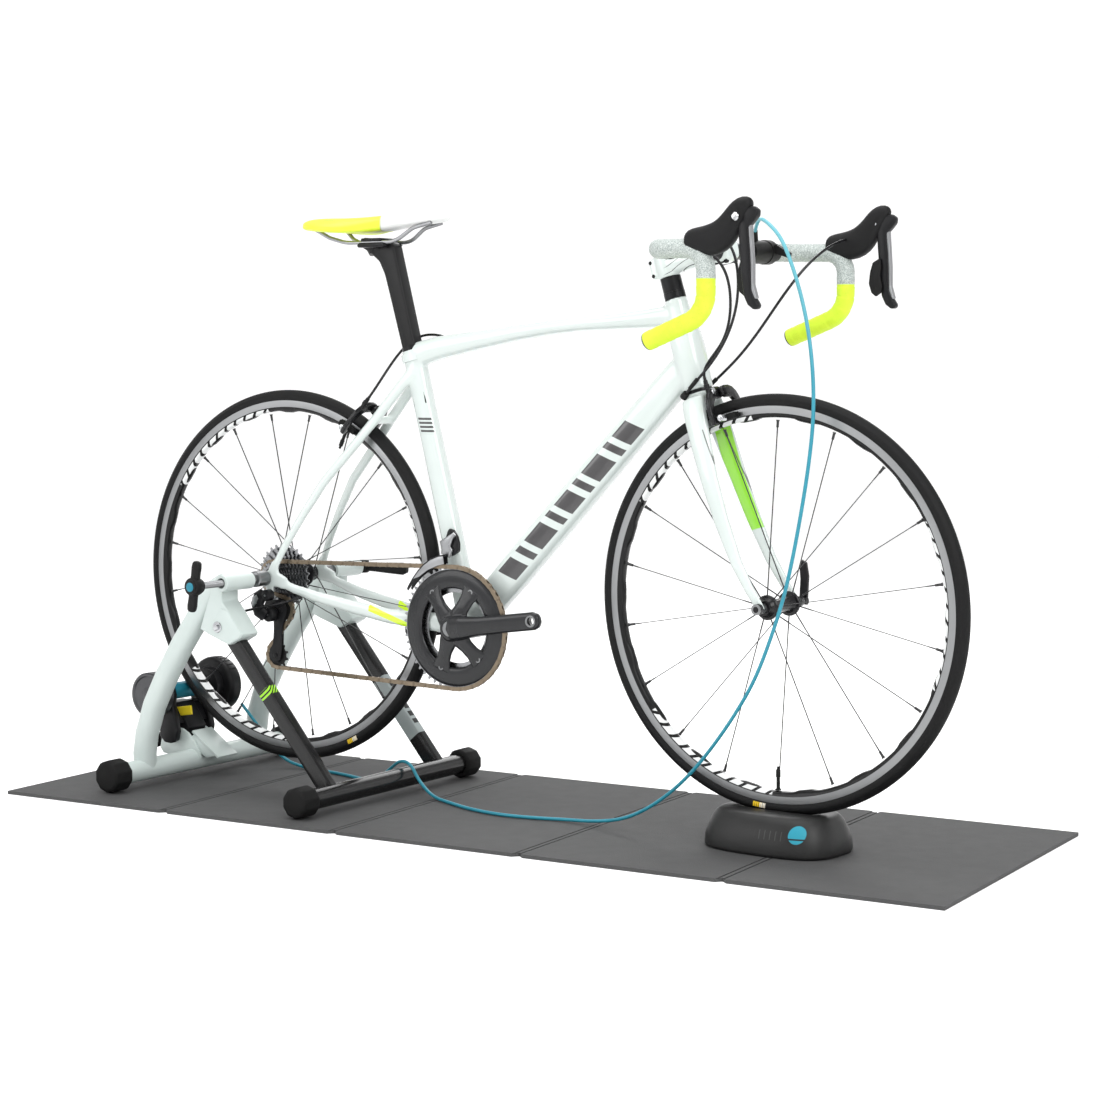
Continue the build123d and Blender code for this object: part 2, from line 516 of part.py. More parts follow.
# ---------------------------------------------------------------- fork, stem and bars
def make_fork():
    crown_top = HEAD_TUBE_FOOT - 4 - BODY_GAP
    steerer = rod(on_axis(crown_top - 20), on_axis(STEM_AT + STEM_HEIGHT / 2 + 3), STEERER_R, STEERER_R - 2)
    crown = rod(on_axis(crown_top - 9), on_axis(crown_top), 23)
    bridge = loft([Plane(origin=on_axis(along), x_dir=FORE, z_dir=UP_AXIS) * RectangleRounded(*size, 14)
                   for along, size in ((crown_top - 9, (42, 50)), (crown_top - 20, (42, 68)))])
    half = FRONT_HUB_WIDTH / 2
    stations = ((crown_top - 13, 0, 23, 42, 20), (240, 3, 42, 34, 16), (110, 16, 50, 24, 13), (6, 43, half + 4.2, 16, 8))
    blades = []
    for side in (1, -1):
        faces = []
        for along, ahead, out, depth, width in stations:
            plane = Plane(origin=on_axis(along, ahead, side * out), x_dir=FORE, z_dir=UP_AXIS)
            faces.append(plane * Ellipse(depth / 2, width / 2))
        blades.append(loft(faces))
    tip = cross(WHEELBASE, FRONT_AXLE_Z, half, half + 8, 9)
    fork = steerer + crown + bridge + blades[0] + blades[1]
    for piece in both_sides(tip):
        fork += piece
    fork -= cross(WHEELBASE, FRONT_AXLE_Z, -half - 20, half + 20, AXLE_R)
    fork -= cross(WHEELBASE, FRONT_AXLE_Z, -half, half, 22)
    tyre_room = [(TYRE_R + 4, 17), (TYRE_R + 4, -17), (RIM_R - RIM_DEPTH - 5, -17), (RIM_R - RIM_DEPTH - 5, 17)]
    fork -= ring(tyre_room, WHEELBASE, FRONT_AXLE_Z)
    bolt = rod(on_axis(353, -26), on_axis(353, 52), 3)
    bolt += rod(on_axis(353, 48.4), on_axis(353, 53), 6)
    fork = max((fork - bolt).solids(), key=lambda s: s.volume)
    save_steered("fork", fork)

    spacer_low = HEAD_TUBE_TOP + 11 + BODY_GAP
    stem_low, stem_high = STEM_AT - STEM_HEIGHT / 2, STEM_AT + STEM_HEIGHT / 2
    spacers = []
    count = 3
    step = (stem_low - spacer_low) / count
    for n in range(count):
        spacers.append(rod(on_axis(spacer_low + n * step), on_axis(spacer_low + (n + 1) * step), 17, STEERER_R))
    cap = rod(on_axis(stem_high + 3), on_axis(stem_high + 7), 16.5)

    bar = at(BAR_X, BAR_Z)
    stem = rod(on_axis(stem_low), on_axis(stem_high), 19)
    body_from = on_axis(STEM_AT, 4)
    line = (bar - body_from).normalized()
    stem += cone(body_from, bar - line * 12, 19, 16)
    stem += cross(BAR_X, BAR_Z, -21, 21, BAR_CLAMP_R + 5)
    stem -= rod(on_axis(stem_low - 5), on_axis(stem_high + 5), STEERER_R)
    stem -= cross(BAR_X, BAR_Z, -30, 30, BAR_CLAMP_R)
    bolts = [bolt]
    for y in (-13, 13):
        for lift in (-1, 1):
            side = Vector(-line.Z, 0, line.X) * (lift * (BAR_CLAMP_R + 2.5))
            centre = bar + side + Vector(0, y, 0)
            bolts.append(rod(centre - line * 14, centre + line * 11, 2.5) + rod(centre + line * 11, centre + line * 15, 4))
    for along in (STEM_AT - 11, STEM_AT + 11):
        bolts.append(rod(on_axis(along, -22, -14), on_axis(along, -22, 14), 3.2))
    for screw in bolts:
        stem -= screw
    stem = max(stem.solids(), key=lambda s: s.volume)
    save_steered("stem", stem)
    save_steered("stem_fittings", *spacers, cap, *bolts)


def bar_points(side, from_y):
    half = BAR_WIDTH / 2
    front = BAR_X + BAR_REACH
    low = BAR_Z - BAR_DROP
    plan = [(BAR_X, BAR_Z, from_y), (BAR_X, BAR_Z, half), (front, BAR_Z - 2, half),
            (front, low + BAR_REACH * DROP_SLOPE, half), (BAR_X, low, half)]
    return [at(px, pz, side * py) for px, pz, py in plan]




def make_bars():
    left, right = bar_points(1, 0), bar_points(-1, 0)
    whole = list(reversed(left))[:-1] + right[1:]
    bar = swept(whole, BAR_BENDS[::-1] + BAR_BENDS, BAR_R, BAR_R - 2)
    bar += cross(BAR_X, BAR_Z, -30, 30, BAR_CLAMP_R, BAR_R - 2)
    for side in (1, -1):
        bulge = cone(at(BAR_X, BAR_Z, side * 30), at(BAR_X, BAR_Z, side * 60), BAR_CLAMP_R, BAR_R)
        bar += bulge - cross(BAR_X, BAR_Z, side * 29, side * 61, BAR_R - 2)
    save_steered("handlebar", bar)

    tape_r = BAR_R + TAPE_T
    tapes = [swept(bar_points(side, TAPE_FROM), BAR_BENDS, tape_r, BAR_R) for side in (1, -1)]
    save_steered("bar_tape", *tapes)

    y = BAR_WIDTH / 2
    solid_tape = swept(bar_points(1, TAPE_FROM), BAR_BENDS, tape_r)
    hood = plate([(970, 966), (974, 975), (1006, 981), (1031, 991), (1040, 1003), (1044, 1020), (1058, 1028),
                  (1076, 1027), (1087, 1020), (1072, 1003), (1056, 995), (1052, 978), (1048, 960), (1028, 936),
                  (1012, 930), (996, 938), (978, 954)], y - 16, y + 16)
    hood = fillet(hood.edges().filter_by(Axis.Y, reverse=True), 4)
    save_steered("brake_hoods", *both_sides(hood - solid_tape))

    blade = plate([(1061, 990), (1072, 997), (1087, 1011), (1097, 1007), (1096, 994), (1085, 985), (1078, 977),
                   (1083, 949), (1086, 910), (1087, 882), (1099, 863), (1093, 856), (1080, 863), (1072, 878),
                   (1069, 910), (1066, 948), (1064, 976)], y - 7, y + 7)
    paddle = plate([(1058, 932), (1074, 940), (1072, 910), (1074, 886), (1062, 880), (1054, 899)], y - 12, y - 8)
    save_steered("left_brake_lever", blade)
    save_steered("right_brake_lever", blade.mirror(Plane.XZ))
    save_steered("left_shift_paddle", paddle)
    save_steered("right_shift_paddle", paddle.mirror(Plane.XZ))

    collar = cross(BAR_X, BAR_Z, REMOTE_FROM, REMOTE_TO - 16, REMOTE_R, BAR_R)
    exit_point, after = at(*CABLE_ROUTE[0]), at(*CABLE_ROUTE[1])
    heading = (after - exit_point).normalized()
    nozzle_to = unsteered(exit_point - heading * BODY_GAP)
    nozzle_from = unsteered(exit_point - heading * 34)
    nozzle = cone(nozzle_from, nozzle_to, 8, 4)
    collar += nozzle - cross(BAR_X, BAR_Z, 60, 150, BAR_R)
    save_steered("remote_shifter_body", collar)
    dial = cross(BAR_X, BAR_Z, REMOTE_TO - 15.7, REMOTE_TO, REMOTE_R + 1, BAR_R + BODY_GAP)
    thumb = plate([(BAR_X + 12, BAR_Z + 8), (BAR_X + 20, BAR_Z - 2), (BAR_X + 44, BAR_Z - 10), (BAR_X + 46, BAR_Z - 2),
                   (BAR_X + 22, BAR_Z + 12)], REMOTE_TO - 12, REMOTE_TO - 2)
    thumb -= cross(BAR_X, BAR_Z, 100, 160, BAR_R + 2)
    save_steered("remote_shifter_lever", dial + thumb)


def make_caliper(name, plane, reach, pad_tilt, place):
    """Two brake arms on one bolt.  The plane's x runs left, y towards the bolt from the axle."""
    outline = [(0, 9), (20, 7), (36, -4), (41, -28), (39, -reach - 8), (29, -reach - 8), (28, -30),
               (24, -17), (9, -9), (0, -8)]
    pad_middle = 33
    for side, layer in ((-1, 14), (1, 23)):
        face = make_face(Polyline(*[(side * x, y) for x, y in outline], close=True))
        arm = Pos(0, 0, layer) * extrude(face, amount=8, dir=(0, 0, 1))
        arm += Pos(0, 0, layer) * Cylinder(9, 8, align=BASE)
        shoe = Pos(side * 20, 0, 0) * Box(10, 11, 40) + Pos(side * 27, 0, -5) * Box(12, 8, 16)
        shoe += Pos(side * 13.4, 0, 0) * Box(3.4, 8, 44)
        arm += Pos(0, -reach, pad_middle) * Rot(pad_tilt, 0, 0) * shoe
        arm -= Cylinder(3 + RUN_GAP, 100)
        hand = "left" if side * plane.x_dir.Y > 0 else "right"
        save(f"{name}_brake_{hand}_arm", place(plane * arm))


def make_brakes():
    front = Plane(origin=on_axis(353, 17), x_dir=Vector(0, 1, 0), z_dir=FORE)
    make_caliper("front", front, 44, 0, steered)
    rear = Plane(origin=BRIDGE + BRIDGE_OUT * 5, x_dir=Vector(0, -1, 0), z_dir=BRIDGE_OUT)
    make_caliper("rear", rear, 52, REAR_PAD_TILT, lambda s: s)


# ---------------------------------------------------------------- drive train
def pitch_radius(teeth):
    return PITCH / (2 * sin(pi / teeth))


def sprocket(teeth, thick, tip=2.6, root=3.4, turn=0.0):
    """A toothed wheel about Z, centred on its own plane."""
    points = []
    for tooth in range(teeth):
        for share, height in ((-0.30, -root), (-0.12, tip), (0.12, tip), (0.30, -root)):
            angle = turn + 2 * pi * (tooth + share) / teeth
            r = pitch_radius(teeth) + height
            points.append((r * cos(angle), r * sin(angle)))
    return Pos(0, 0, -thick / 2) * extrude(make_face(Polyline(*points, close=True)), amount=thick, dir=(0, 0, 1))


def wheel_plane(x, z, y):
    """A plane across the bicycle: its x runs forward and its y up."""
    return Plane(origin=at(x, z, y), x_dir=Vector(1, 0, 0), z_dir=Vector(0, -1, 0))


def chain_wheels():
    """Centre, pitch radius and sense (+1 clockwise from the right) along the chain."""
    return [((BB_X, BB_Z), pitch_radius(BIG_RING), 1), (TENSION_PULLEY, pitch_radius(PULLEY_TEETH), 1),
            (GUIDE_PULLEY, pitch_radius(PULLEY_TEETH), -1), ((0.0, REAR_AXLE_Z), pitch_radius(DRIVEN_COG), 1)]


def belt_face(offset):
    """The area inside the chain line moved outwards by an offset."""
    wheels = [(c, r + sense * offset, sense) for c, r, sense in chain_wheels()]
    leave, arrive = [], []
    for n, ((ax, az), ra, sa) in enumerate(wheels):
        (bx, bz), rb, sb = wheels[(n + 1) % len(wheels)]
        gap = hypot(bx - ax, bz - az)
        heading = atan2(bz - az, bx - ax)
        lean = asin((sa * ra - sb * rb) / gap)
        normal = heading + pi / 2 - lean
        leave.append((ax + sa * ra * cos(normal), az + sa * ra * sin(normal)))
        arrive.append((bx + sb * rb * cos(normal), bz + sb * rb * sin(normal)))
    edges = []
    for n, ((cx, cz), r, sense) in enumerate(wheels):
        start, end = arrive[n - 1], leave[n]
        a0 = atan2(start[1] - cz, start[0] - cx)
        a1 = atan2(end[1] - cz, end[0] - cx)
        sweep_angle = (a0 - a1) % (2 * pi) if sense > 0 else (a1 - a0) % (2 * pi)
        middle = a0 - sense * sweep_angle / 2
        half = (cx + r * cos(middle), cz + r * sin(middle))
        edges.append(ThreePointArc(start, half, end))
        edges.append(Line(end, arrive[n]))
    return make_face(edges)


def make_drive():
    plate_h, gap, plate_t = 4.2, 1.5, 1.3
    ribbon = belt_face(plate_h) - belt_face(-plate_h)
    flat = Plane(origin=at(0, 0, CHAIN_Y), x_dir=Vector(1, 0, 0), z_dir=Vector(0, -1, 0))

    def plate_at(face, low, thick):
        return flat * Pos(0, 0, low) * extrude(face, amount=thick, dir=(0, 0, 1))

    bands = []
    for low in (gap, -gap - plate_t):
        bands.append(plate_at(ribbon, low, plate_t))
    save("chain", *bands)

    big = wheel_plane(BB_X, BB_Z, CHAIN_Y) * (sprocket(BIG_RING, 2.2) - Cylinder(62, 10))
    small = wheel_plane(BB_X, BB_Z, CHAIN_Y + 7.5) * (sprocket(SMALL_RING, 2.0) - Cylinder(60, 10))
    save("chainrings", big, small)

    lift = radians(CRANK_LIFT)
    end_x, end_z = BB_X + CRANK_LENGTH * cos(lift), BB_Z + CRANK_LENGTH * sin(lift)
    spindle = cross(BB_X, BB_Z, -BB_WIDTH / 2 - 30, BB_WIDTH / 2 + 20, 12)
    along, across = Vector(cos(lift), 0, sin(lift)), Vector(-sin(lift), 0, cos(lift))
    right = loft([Plane(origin=BB + along * s + Vector(0, -y, 0), x_dir=across, z_dir=along) * RectangleRounded(w, t, 5)
                  for s, y, w, t in ((0, 56, 34, 16), (60, 60, 27, 15), (CRANK_LENGTH, 62, 26, 15))])
    eye_out = at(end_x, end_z, -69.5), at(end_x, end_z, -54.5)
    right += rod(*eye_out, CRANK_END_R)
    right += cross(BB_X, BB_Z, -63, -40.5 - 6, 20)
    left = loft([Plane(origin=BB - along * s + Vector(0, y, 0), x_dir=across, z_dir=along) * RectangleRounded(w, t, 5)
                 for s, y, w, t in ((0, 52, 34, 18), (60, 56, 27, 16), (CRANK_LENGTH, 60, 26, 15))])
    left += rod(BB - along * CRANK_LENGTH + Vector(0, 52.5, 0), BB - along * CRANK_LENGTH + Vector(0, 67.5, 0), CRANK_END_R)
    left += cross(BB_X, BB_Z, 42, 61, 19)
    cranks = spindle + right + left
    for n in range(4):
        angle = lift + radians(45 + 90 * n + (-10 if n % 2 else 10))
        out = Vector(cos(angle), 0, sin(angle))
        tangent = Vector(-sin(angle), 0, cos(angle))
        spider = loft([Plane(origin=BB + out * r + Vector(0, y, 0), x_dir=tangent, z_dir=out) *
                       RectangleRounded(w, t, 2) for r, y, w, t in ((10, -55, 34, 12), (70, CHAIN_Y - 4, 18, 5.6))])
        cranks += spider
        stud = BB + out * 64
        cranks += rod(stud + Vector(0, CHAIN_Y - 4, 0), stud + Vector(0, CHAIN_Y + 9, 0), 4.5)
    ring_room = wheel_plane(BB_X, BB_Z, CHAIN_Y) * (Cylinder(108, 2.2) - Cylinder(62, 4))
    ring_room2 = wheel_plane(BB_X, BB_Z, CHAIN_Y + 7.5) * (Cylinder(82, 2.0) - Cylinder(60, 4))
    cranks = cranks - ring_room - ring_room2
    for side in (1, -1):
        eye = BB + along * (CRANK_LENGTH * side)
        cranks -= rod(Vector(eye.X, -side * 50, eye.Z), Vector(eye.X, -side * 70, eye.Z), PEDAL_HOLE_R)
    cranks = max(cranks.solids(), key=lambda s: s.volume)
    save("cranks_and_spider", cranks)

    cogs = []
    for n, teeth in enumerate(COGS):
        y = CHAIN_Y + (n - COGS.index(DRIVEN_COG)) * COG_PITCH
        cogs.append(wheel_plane(0, REAR_AXLE_Z, y) * (sprocket(teeth, COG_T) - Cylinder(16.9, 10)))
    carrier_from = CHAIN_Y - COGS.index(DRIVEN_COG) * COG_PITCH - 2.5
    carrier_to = CHAIN_Y + (len(COGS) - COGS.index(DRIVEN_COG)) * COG_PITCH - 1.6
    carrier = cross(0, REAR_AXLE_Z, carrier_from, carrier_to, 16.9, AXLE_R + RUN_GAP)
    save("cassette", carrier, *cogs)

    for name, (x, z) in (("guide_pulley", GUIDE_PULLEY), ("tension_pulley", TENSION_PULLEY)):
        pulley = wheel_plane(x, z, CHAIN_Y) * (sprocket(PULLEY_TEETH, 2.4) + Cylinder(9, 7.4) - Cylinder(2.5 + RUN_GAP, 20))
        save(name, pulley)
    make_derailleurs()


def make_derailleurs():
    gx, gz = GUIDE_PULLEY
    tx, tz = TENSION_PULLEY
    slope = atan2(tz - gz, tx - gx)
    nx, nz = -sin(slope), cos(slope)

    def side_plate(y_from, y_to, half):
        body = plate([(gx + nx * half, gz + nz * half), (tx + nx * half, tz + nz * half),
                      (tx - nx * half, tz - nz * half), (gx - nx * half, gz - nz * half)], y_from, y_to)
        return body + cross(gx, gz, y_from, y_to, half + 5) + cross(tx, tz, y_from, y_to, half + 5)

    cage = side_plate(CHAIN_Y - 6.4, CHAIN_Y - 4.4, 7) + side_plate(CHAIN_Y + 4.4, CHAIN_Y + 6.4, 7)
    for x, z in (GUIDE_PULLEY, TENSION_PULLEY):
        cage += cross(x, z, CHAIN_Y - 7.5, CHAIN_Y + 7.5, 2.5)
    knuckle = (gx - 16.0, gz - 8.0)
    cage += plate([(gx - 4, gz + 10), (gx - 4, gz - 14), (knuckle[0] - 4, knuckle[1] - 10),
                   (knuckle[0] - 8, knuckle[1] + 8)], CHAIN_Y - 8.4, CHAIN_Y - 4.4)
    cage += cross(*knuckle, CHAIN_Y - 22, CHAIN_Y - 8, 4.5)
    save("derailleur_cage", cage)

    hx, hz = 10.0, REAR_AXLE_Z - 30
    body = cross(*knuckle, CHAIN_Y - 26, CHAIN_Y - 8.8, 13) - cross(*knuckle, CHAIN_Y - 22.4, CHAIN_Y - 8, 4.5 + RUN_GAP)
    body += plate([(hx - 2, hz + 4), (hx - 26, hz + 8), (knuckle[0] - 14, knuckle[1] - 2), (knuckle[0] + 2, knuckle[1] - 10),
                   (hx + 8, hz - 8)], CHAIN_Y - 38, CHAIN_Y - 25)
    body += cross(hx, hz, CHAIN_Y - 38, -REAR_HUB_WIDTH / 2 - 6, 10)
    body = max(body.solids(), key=lambda s: s.volume)
    rear_body = body

    big = pitch_radius(BIG_RING)
    front_a, bridge_a, tail_a = radians(92), radians(116), radians(138)

    def shoe(r_in, r_out, y_from, y_to, a0, a1):
        def pt(r, a):
            return (BB_X + r * cos(a), BB_Z + r * sin(a) + MAT_T)
        mid = (a0 + a1) / 2
        edges = [ThreePointArc(pt(r_out, a0), pt(r_out, mid), pt(r_out, a1)), Line(pt(r_out, a1), pt(r_in, a1)),
                 ThreePointArc(pt(r_in, a1), pt(r_in, mid), pt(r_in, a0)), Line(pt(r_in, a0), pt(r_out, a0))]
        face = make_face([Plane.XZ.offset(-y_from) * e for e in edges])
        return extrude(face, amount=y_to - y_from, dir=(0, 1, 0))

    cage = shoe(big + 5.5, big + 20, CHAIN_Y - 6.4, CHAIN_Y - 4.6, front_a, tail_a)
    cage += shoe(big + 3, big + 20, CHAIN_Y + 4.6, CHAIN_Y + 6.4, front_a, tail_a)
    cage += shoe(big + 18.6, big + 20, CHAIN_Y - 6.4, CHAIN_Y + 6.4, front_a, bridge_a)
    cage += shoe(big + 5.5, big + 9, CHAIN_Y - 6.4, CHAIN_Y + 6.4, tail_a - 0.03, tail_a)
    pivot = on_seat_tube(152)
    arm = plate([(pivot.X - 20, pivot.Z - MAT_T - 30), (pivot.X + 4, pivot.Z - MAT_T - 30), (pivot.X + 8, pivot.Z - MAT_T + 8),
                 (pivot.X - 14, pivot.Z - MAT_T + 8)], CHAIN_Y + 6.0, CHAIN_Y + 14)
    cage += arm
    mount = plate([(pivot.X - 16, pivot.Z - MAT_T - 12), (pivot.X + 8, pivot.Z - MAT_T - 12),
                   (pivot.X + 6, pivot.Z - MAT_T + 16), (pivot.X - 18, pivot.Z - MAT_T + 16)],
                  CHAIN_Y + 14 + SHIFT_TRAVEL + BODY_GAP, -14)
    tube = extrude(oval(on_seat_tube(0), SEAT_DIR, SEAT_TUBE_DEPTH, SEAT_TUBE_WIDTH), SEAT_TUBE_LENGTH)
    mount -= tube
    mount = max(mount.solids(), key=lambda s: s.volume)
    save("front_derailleur_cage", cage)
    save("derailleur_bodies", rear_body, mount)


# ---------------------------------------------------------------- saddle
def make_saddle():
    top = on_seat_tube(SEAT_TUBE_LENGTH + POST_ABOVE)
    post = rod(on_seat_tube(SEAT_TUBE_LENGTH - POST_BELOW), top, POST_R, POST_R - 2)
    clamp = at(206, 979)
    head = loft([Plane(origin=top, z_dir=SEAT_DIR) * Circle(POST_R),
                 Plane(origin=clamp - Vector(-6, 0, 14), z_dir=Vector(-0.6, 0, 0.8)) * RectangleRounded(26, 34, 8)])
    cradle = Pos(clamp) * Box(40, 54, 12)
    rails_hole = [rod(clamp + Vector(-30, y, 2), clamp + Vector(30, y, 2), 3.6) for y in (-22, 22)]
    head = post + head + cradle
    for hole in rails_hole:
        head -= hole
    save("seatpost", head)

    rails = []
    for y, back_y, nose_y in ((22, 44, 16), (-22, -44, -16)):
        points = [clamp + Vector(-104, back_y, 26), clamp + Vector(-52, y, 2), clamp + Vector(52, y, 2),
                  clamp + Vector(118, nose_y, 28)]
        rails.append(swept(points, [60.0, 60.0], 3.5))

    stations = ((85, 1024, 112, 26), (112, 1024, 132, 30), (150, 1022, 126, 30), (200, 1021, 78, 28),
                (260, 1023, 48, 27), (320, 1027, 38, 26), (354, 1028, 24, 18))
    faces = []
    for x, z, width, height in stations:
        plane = Plane(origin=at(x, z - height * 0.38), x_dir=Vector(0, 1, 0), z_dir=Vector(1, 0, 0))
        faces.append(plane * RectangleRounded(width, height, height * 0.42))
    saddle = loft(faces)
    for rail in rails:
        saddle -= rail
    save("saddle", max(saddle.solids(), key=lambda s: s.volume), *rails)


# ---------------------------------------------------------------- riser block
def make_riser():
    length, width, height = RISER_LENGTH, RISER_WIDTH, RISER_HEIGHT
    lift = 0.3
    front = loft([Pos(0, 0, lift) * RectangleRounded(length, width, 50),
                  Pos(0, 0, height * 0.35) * RectangleRounded(length - 6, width - 6, 50),
                  Pos(0, 0, height) * RectangleRounded(length - 40, width - 40, 36)], ruled=True)
    block = Pos(at(WHEELBASE, 0)) * front
    groove_r = TYRE_R + 2 * BODY_GAP
    trough = ring([(groove_r - 40, 21), (groove_r - 6, 17), (groove_r, 8), (groove_r, -8), (groove_r - 6, -17),
                   (groove_r - 40, -21)], WHEELBASE, FRONT_AXLE_Z)
    block -= trough
    block -= plate([(WHEELBASE - 200, TYRE_LIFT - 2), (WHEELBASE + 200, TYRE_LIFT - 2), (WHEELBASE + 200, 90),
                    (WHEELBASE - 200, 90)], -9, 9)
    block = max(block.solids(), key=lambda s: s.volume)
    pivot = Axis(RISER_PIVOT, Vector(0, 0, 1))
    save("riser_block", block.rotate(pivot, STEER_REST * sin(HEAD)))


# ---------------------------------------------------------------- cables
def unsteered(point):
    """Where a point of the turned bars is when they point straight ahead."""
    return AXIS_FOOT + (point - AXIS_FOOT).rotate(Axis((0, 0, 0), UP_AXIS), -STEER_REST)


def make_remote_cable():
    points = [at(x, z, y) for x, z, y in CABLE_ROUTE]
    radii = loose_radii(points)
    tube = swept(points, radii, CABLE_R)
    path = FilletPolyline(*points, radius=radii)
    print("remote cable length", round(path.length, 1), "smallest radius", round(min(radii), 1))
    print("remote cable radii", [round(r) for r in radii])
    print("remote cable volume ratio", round(tube.volume / (path.length * pi * CABLE_R ** 2), 4))
    save("remote_cable", tube)


def make_control_cables():
    """Gear housings from the hoods to the frame, and the brake housings."""
    hood_y = BAR_WIDTH / 2 - 17
    routes = []
    for side in (1, -1):
        routes.append([steered_point(1012, 975, side * hood_y), steered_point(1010, 968, side * 150),
                       steered_point(992, 930, side * 95), at(954, 852, side * 54), at(908, 780, side * 36),
                       at(842, 722, side * 25.5)])
    tape_end = TAPE_FROM - BODY_GAP
    routes.append([steered_point(BAR_X + 15, BAR_Z + 4, -tape_end), steered_point(BAR_X + 24, BAR_Z + 5, -108),
                   steered_point(BAR_X + 42, BAR_Z - 12, -62), steered_point(BAR_X + 44, BAR_Z - 74, -38),
                   steered_point(BAR_X + 28, BAR_Z - 150, -30)])
    routes.append([at(341, 817.5, 14), at(304, 822, 24), at(268, 818, 26), at(238, 786, 14), at(214, 750, -4),
                   at(184, 738, -22), at(172, 728, -26)])
    drop_y = REAR_HUB_WIDTH / 2
    routes.append([at(84, 356, -drop_y - 7), at(42, 342, -drop_y - 27), at(-8, 332, -drop_y - 39),
                   at(-44, 324, -drop_y - 31), at(-46, 318, -drop_y - 17)])
    save("control_cables", *[swept(points, loose_radii(points), HOUSING_R) for points in routes])


def steered_point(x, z, y):
    return AXIS_FOOT + (at(x, z, y) - AXIS_FOOT).rotate(Axis((0, 0, 0), UP_AXIS), STEER_REST)


make_mat()
make_trainer()
make_axle_clamps()
make_resistance_unit()
make_frame()
make_wheels()
make_fork()
make_bars()
make_brakes()
make_drive()
make_saddle()
make_riser()
make_remote_cable()
make_control_cables()
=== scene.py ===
import json
from math import asin, atan2, cos, hypot, pi, radians, sin, tan

import bmesh
import bpy
from mathutils import Matrix, Vector


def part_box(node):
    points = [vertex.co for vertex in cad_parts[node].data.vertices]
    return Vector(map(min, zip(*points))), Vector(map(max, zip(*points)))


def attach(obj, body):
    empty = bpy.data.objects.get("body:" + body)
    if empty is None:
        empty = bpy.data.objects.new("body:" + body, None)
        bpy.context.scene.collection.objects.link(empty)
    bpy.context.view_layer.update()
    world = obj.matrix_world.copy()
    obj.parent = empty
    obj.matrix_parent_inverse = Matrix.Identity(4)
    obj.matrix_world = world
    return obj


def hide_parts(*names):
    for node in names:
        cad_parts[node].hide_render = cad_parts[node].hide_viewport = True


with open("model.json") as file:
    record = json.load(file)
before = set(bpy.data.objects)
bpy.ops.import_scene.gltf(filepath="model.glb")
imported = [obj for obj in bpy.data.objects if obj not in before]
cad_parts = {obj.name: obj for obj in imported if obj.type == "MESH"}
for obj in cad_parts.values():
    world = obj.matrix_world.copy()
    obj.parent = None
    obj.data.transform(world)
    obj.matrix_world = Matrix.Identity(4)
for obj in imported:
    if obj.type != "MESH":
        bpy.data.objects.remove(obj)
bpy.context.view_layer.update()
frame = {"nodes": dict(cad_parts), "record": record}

scene = bpy.context.scene
scene.view_settings.view_transform = "Standard"

STAND, BARS = "stand_and_frame", "fork_and_bars"
MAT_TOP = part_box("riser_block")[0][2] - 0.0003
HEAD = radians(73.3)
UP = Vector((-cos(HEAD), 0, sin(HEAD)))
FORE = Vector((sin(HEAD), 0, cos(HEAD)))
FOOT = Vector((0.958898, 0, 0.38307))
REST_TURN = radians(3.1)
BARS_TURN = Matrix.Rotation(-REST_TURN, 3, UP)
BAR_X, BAR_Z, BAR_HALF = 898, 951, 210
BB = (400.6, 319.3)
SEAT = radians(75.6)
SEAT_UP = Vector((-cos(SEAT), 0, sin(SEAT)))
TYRE_R = 336
FRONT_AXLE, REAR_AXLE = (1002, 390), (0, 386)
CHAIN_Y, CHAIN_PITCH = -48, 12.7
COG_STEP = 3.95
BIG_RING, SMALL_RING, CHAIN_COG, PULLEY_TEETH = 52, 39, 14, 11
COG_TEETH = (12, 13, 14, 15, 17, 19, 21, 23, 25, 28)
GUIDE_PULLEY, TENSION_PULLEY = (20, 328), (6, 245)
CRANK_LENGTH, CRANK_LIFT = 172.5, radians(8)
SPIDER_ANGLES = (52, 118, -118, -52)
LEG_Y, FOOT_END_Y = 155, 232
LEG_TOP, FRONT_FOOT, REAR_FOOT = (-16, 302), (215, 27.5), (-220, 30)
FRONT_FOOT_R, REAR_FOOT_R = 18, 19.5
LEVER_PIN = (1064, 994)
REAR_TILT = 13.5


def at(x, z, y=0.0):
    """A point in metres from millimetres and a height above the mat."""
    return Vector((x / 1000, y / 1000, z / 1000 + MAT_TOP))


def on_axis(along, ahead=0.0, side=0.0):
    """A point by its distance up the steering axis and ahead of it."""
    return FOOT + UP * (along / 1000) + FORE * (ahead / 1000) + Vector((0, side / 1000, 0))


def on_seat_tube(along):
    return at(*BB) + SEAT_UP * (along / 1000)


# ------------------------------------------------------------------ camera
azimuth, elevation = radians(33.68), radians(4.82)
back = Vector((sin(azimuth) * cos(elevation), -cos(azimuth) * cos(elevation), sin(elevation)))
camera = bpy.data.objects.new("camera", bpy.data.cameras.new("camera"))
camera.location = (2.79565, -3.34749, 0.80297)
camera.rotation_euler = (-back).to_track_quat("-Z", "Y").to_euler()
camera.data.lens, camera.data.sensor_width = 78.33, 36
camera.data.clip_end = 100
scene.collection.objects.link(camera)
scene.camera = camera


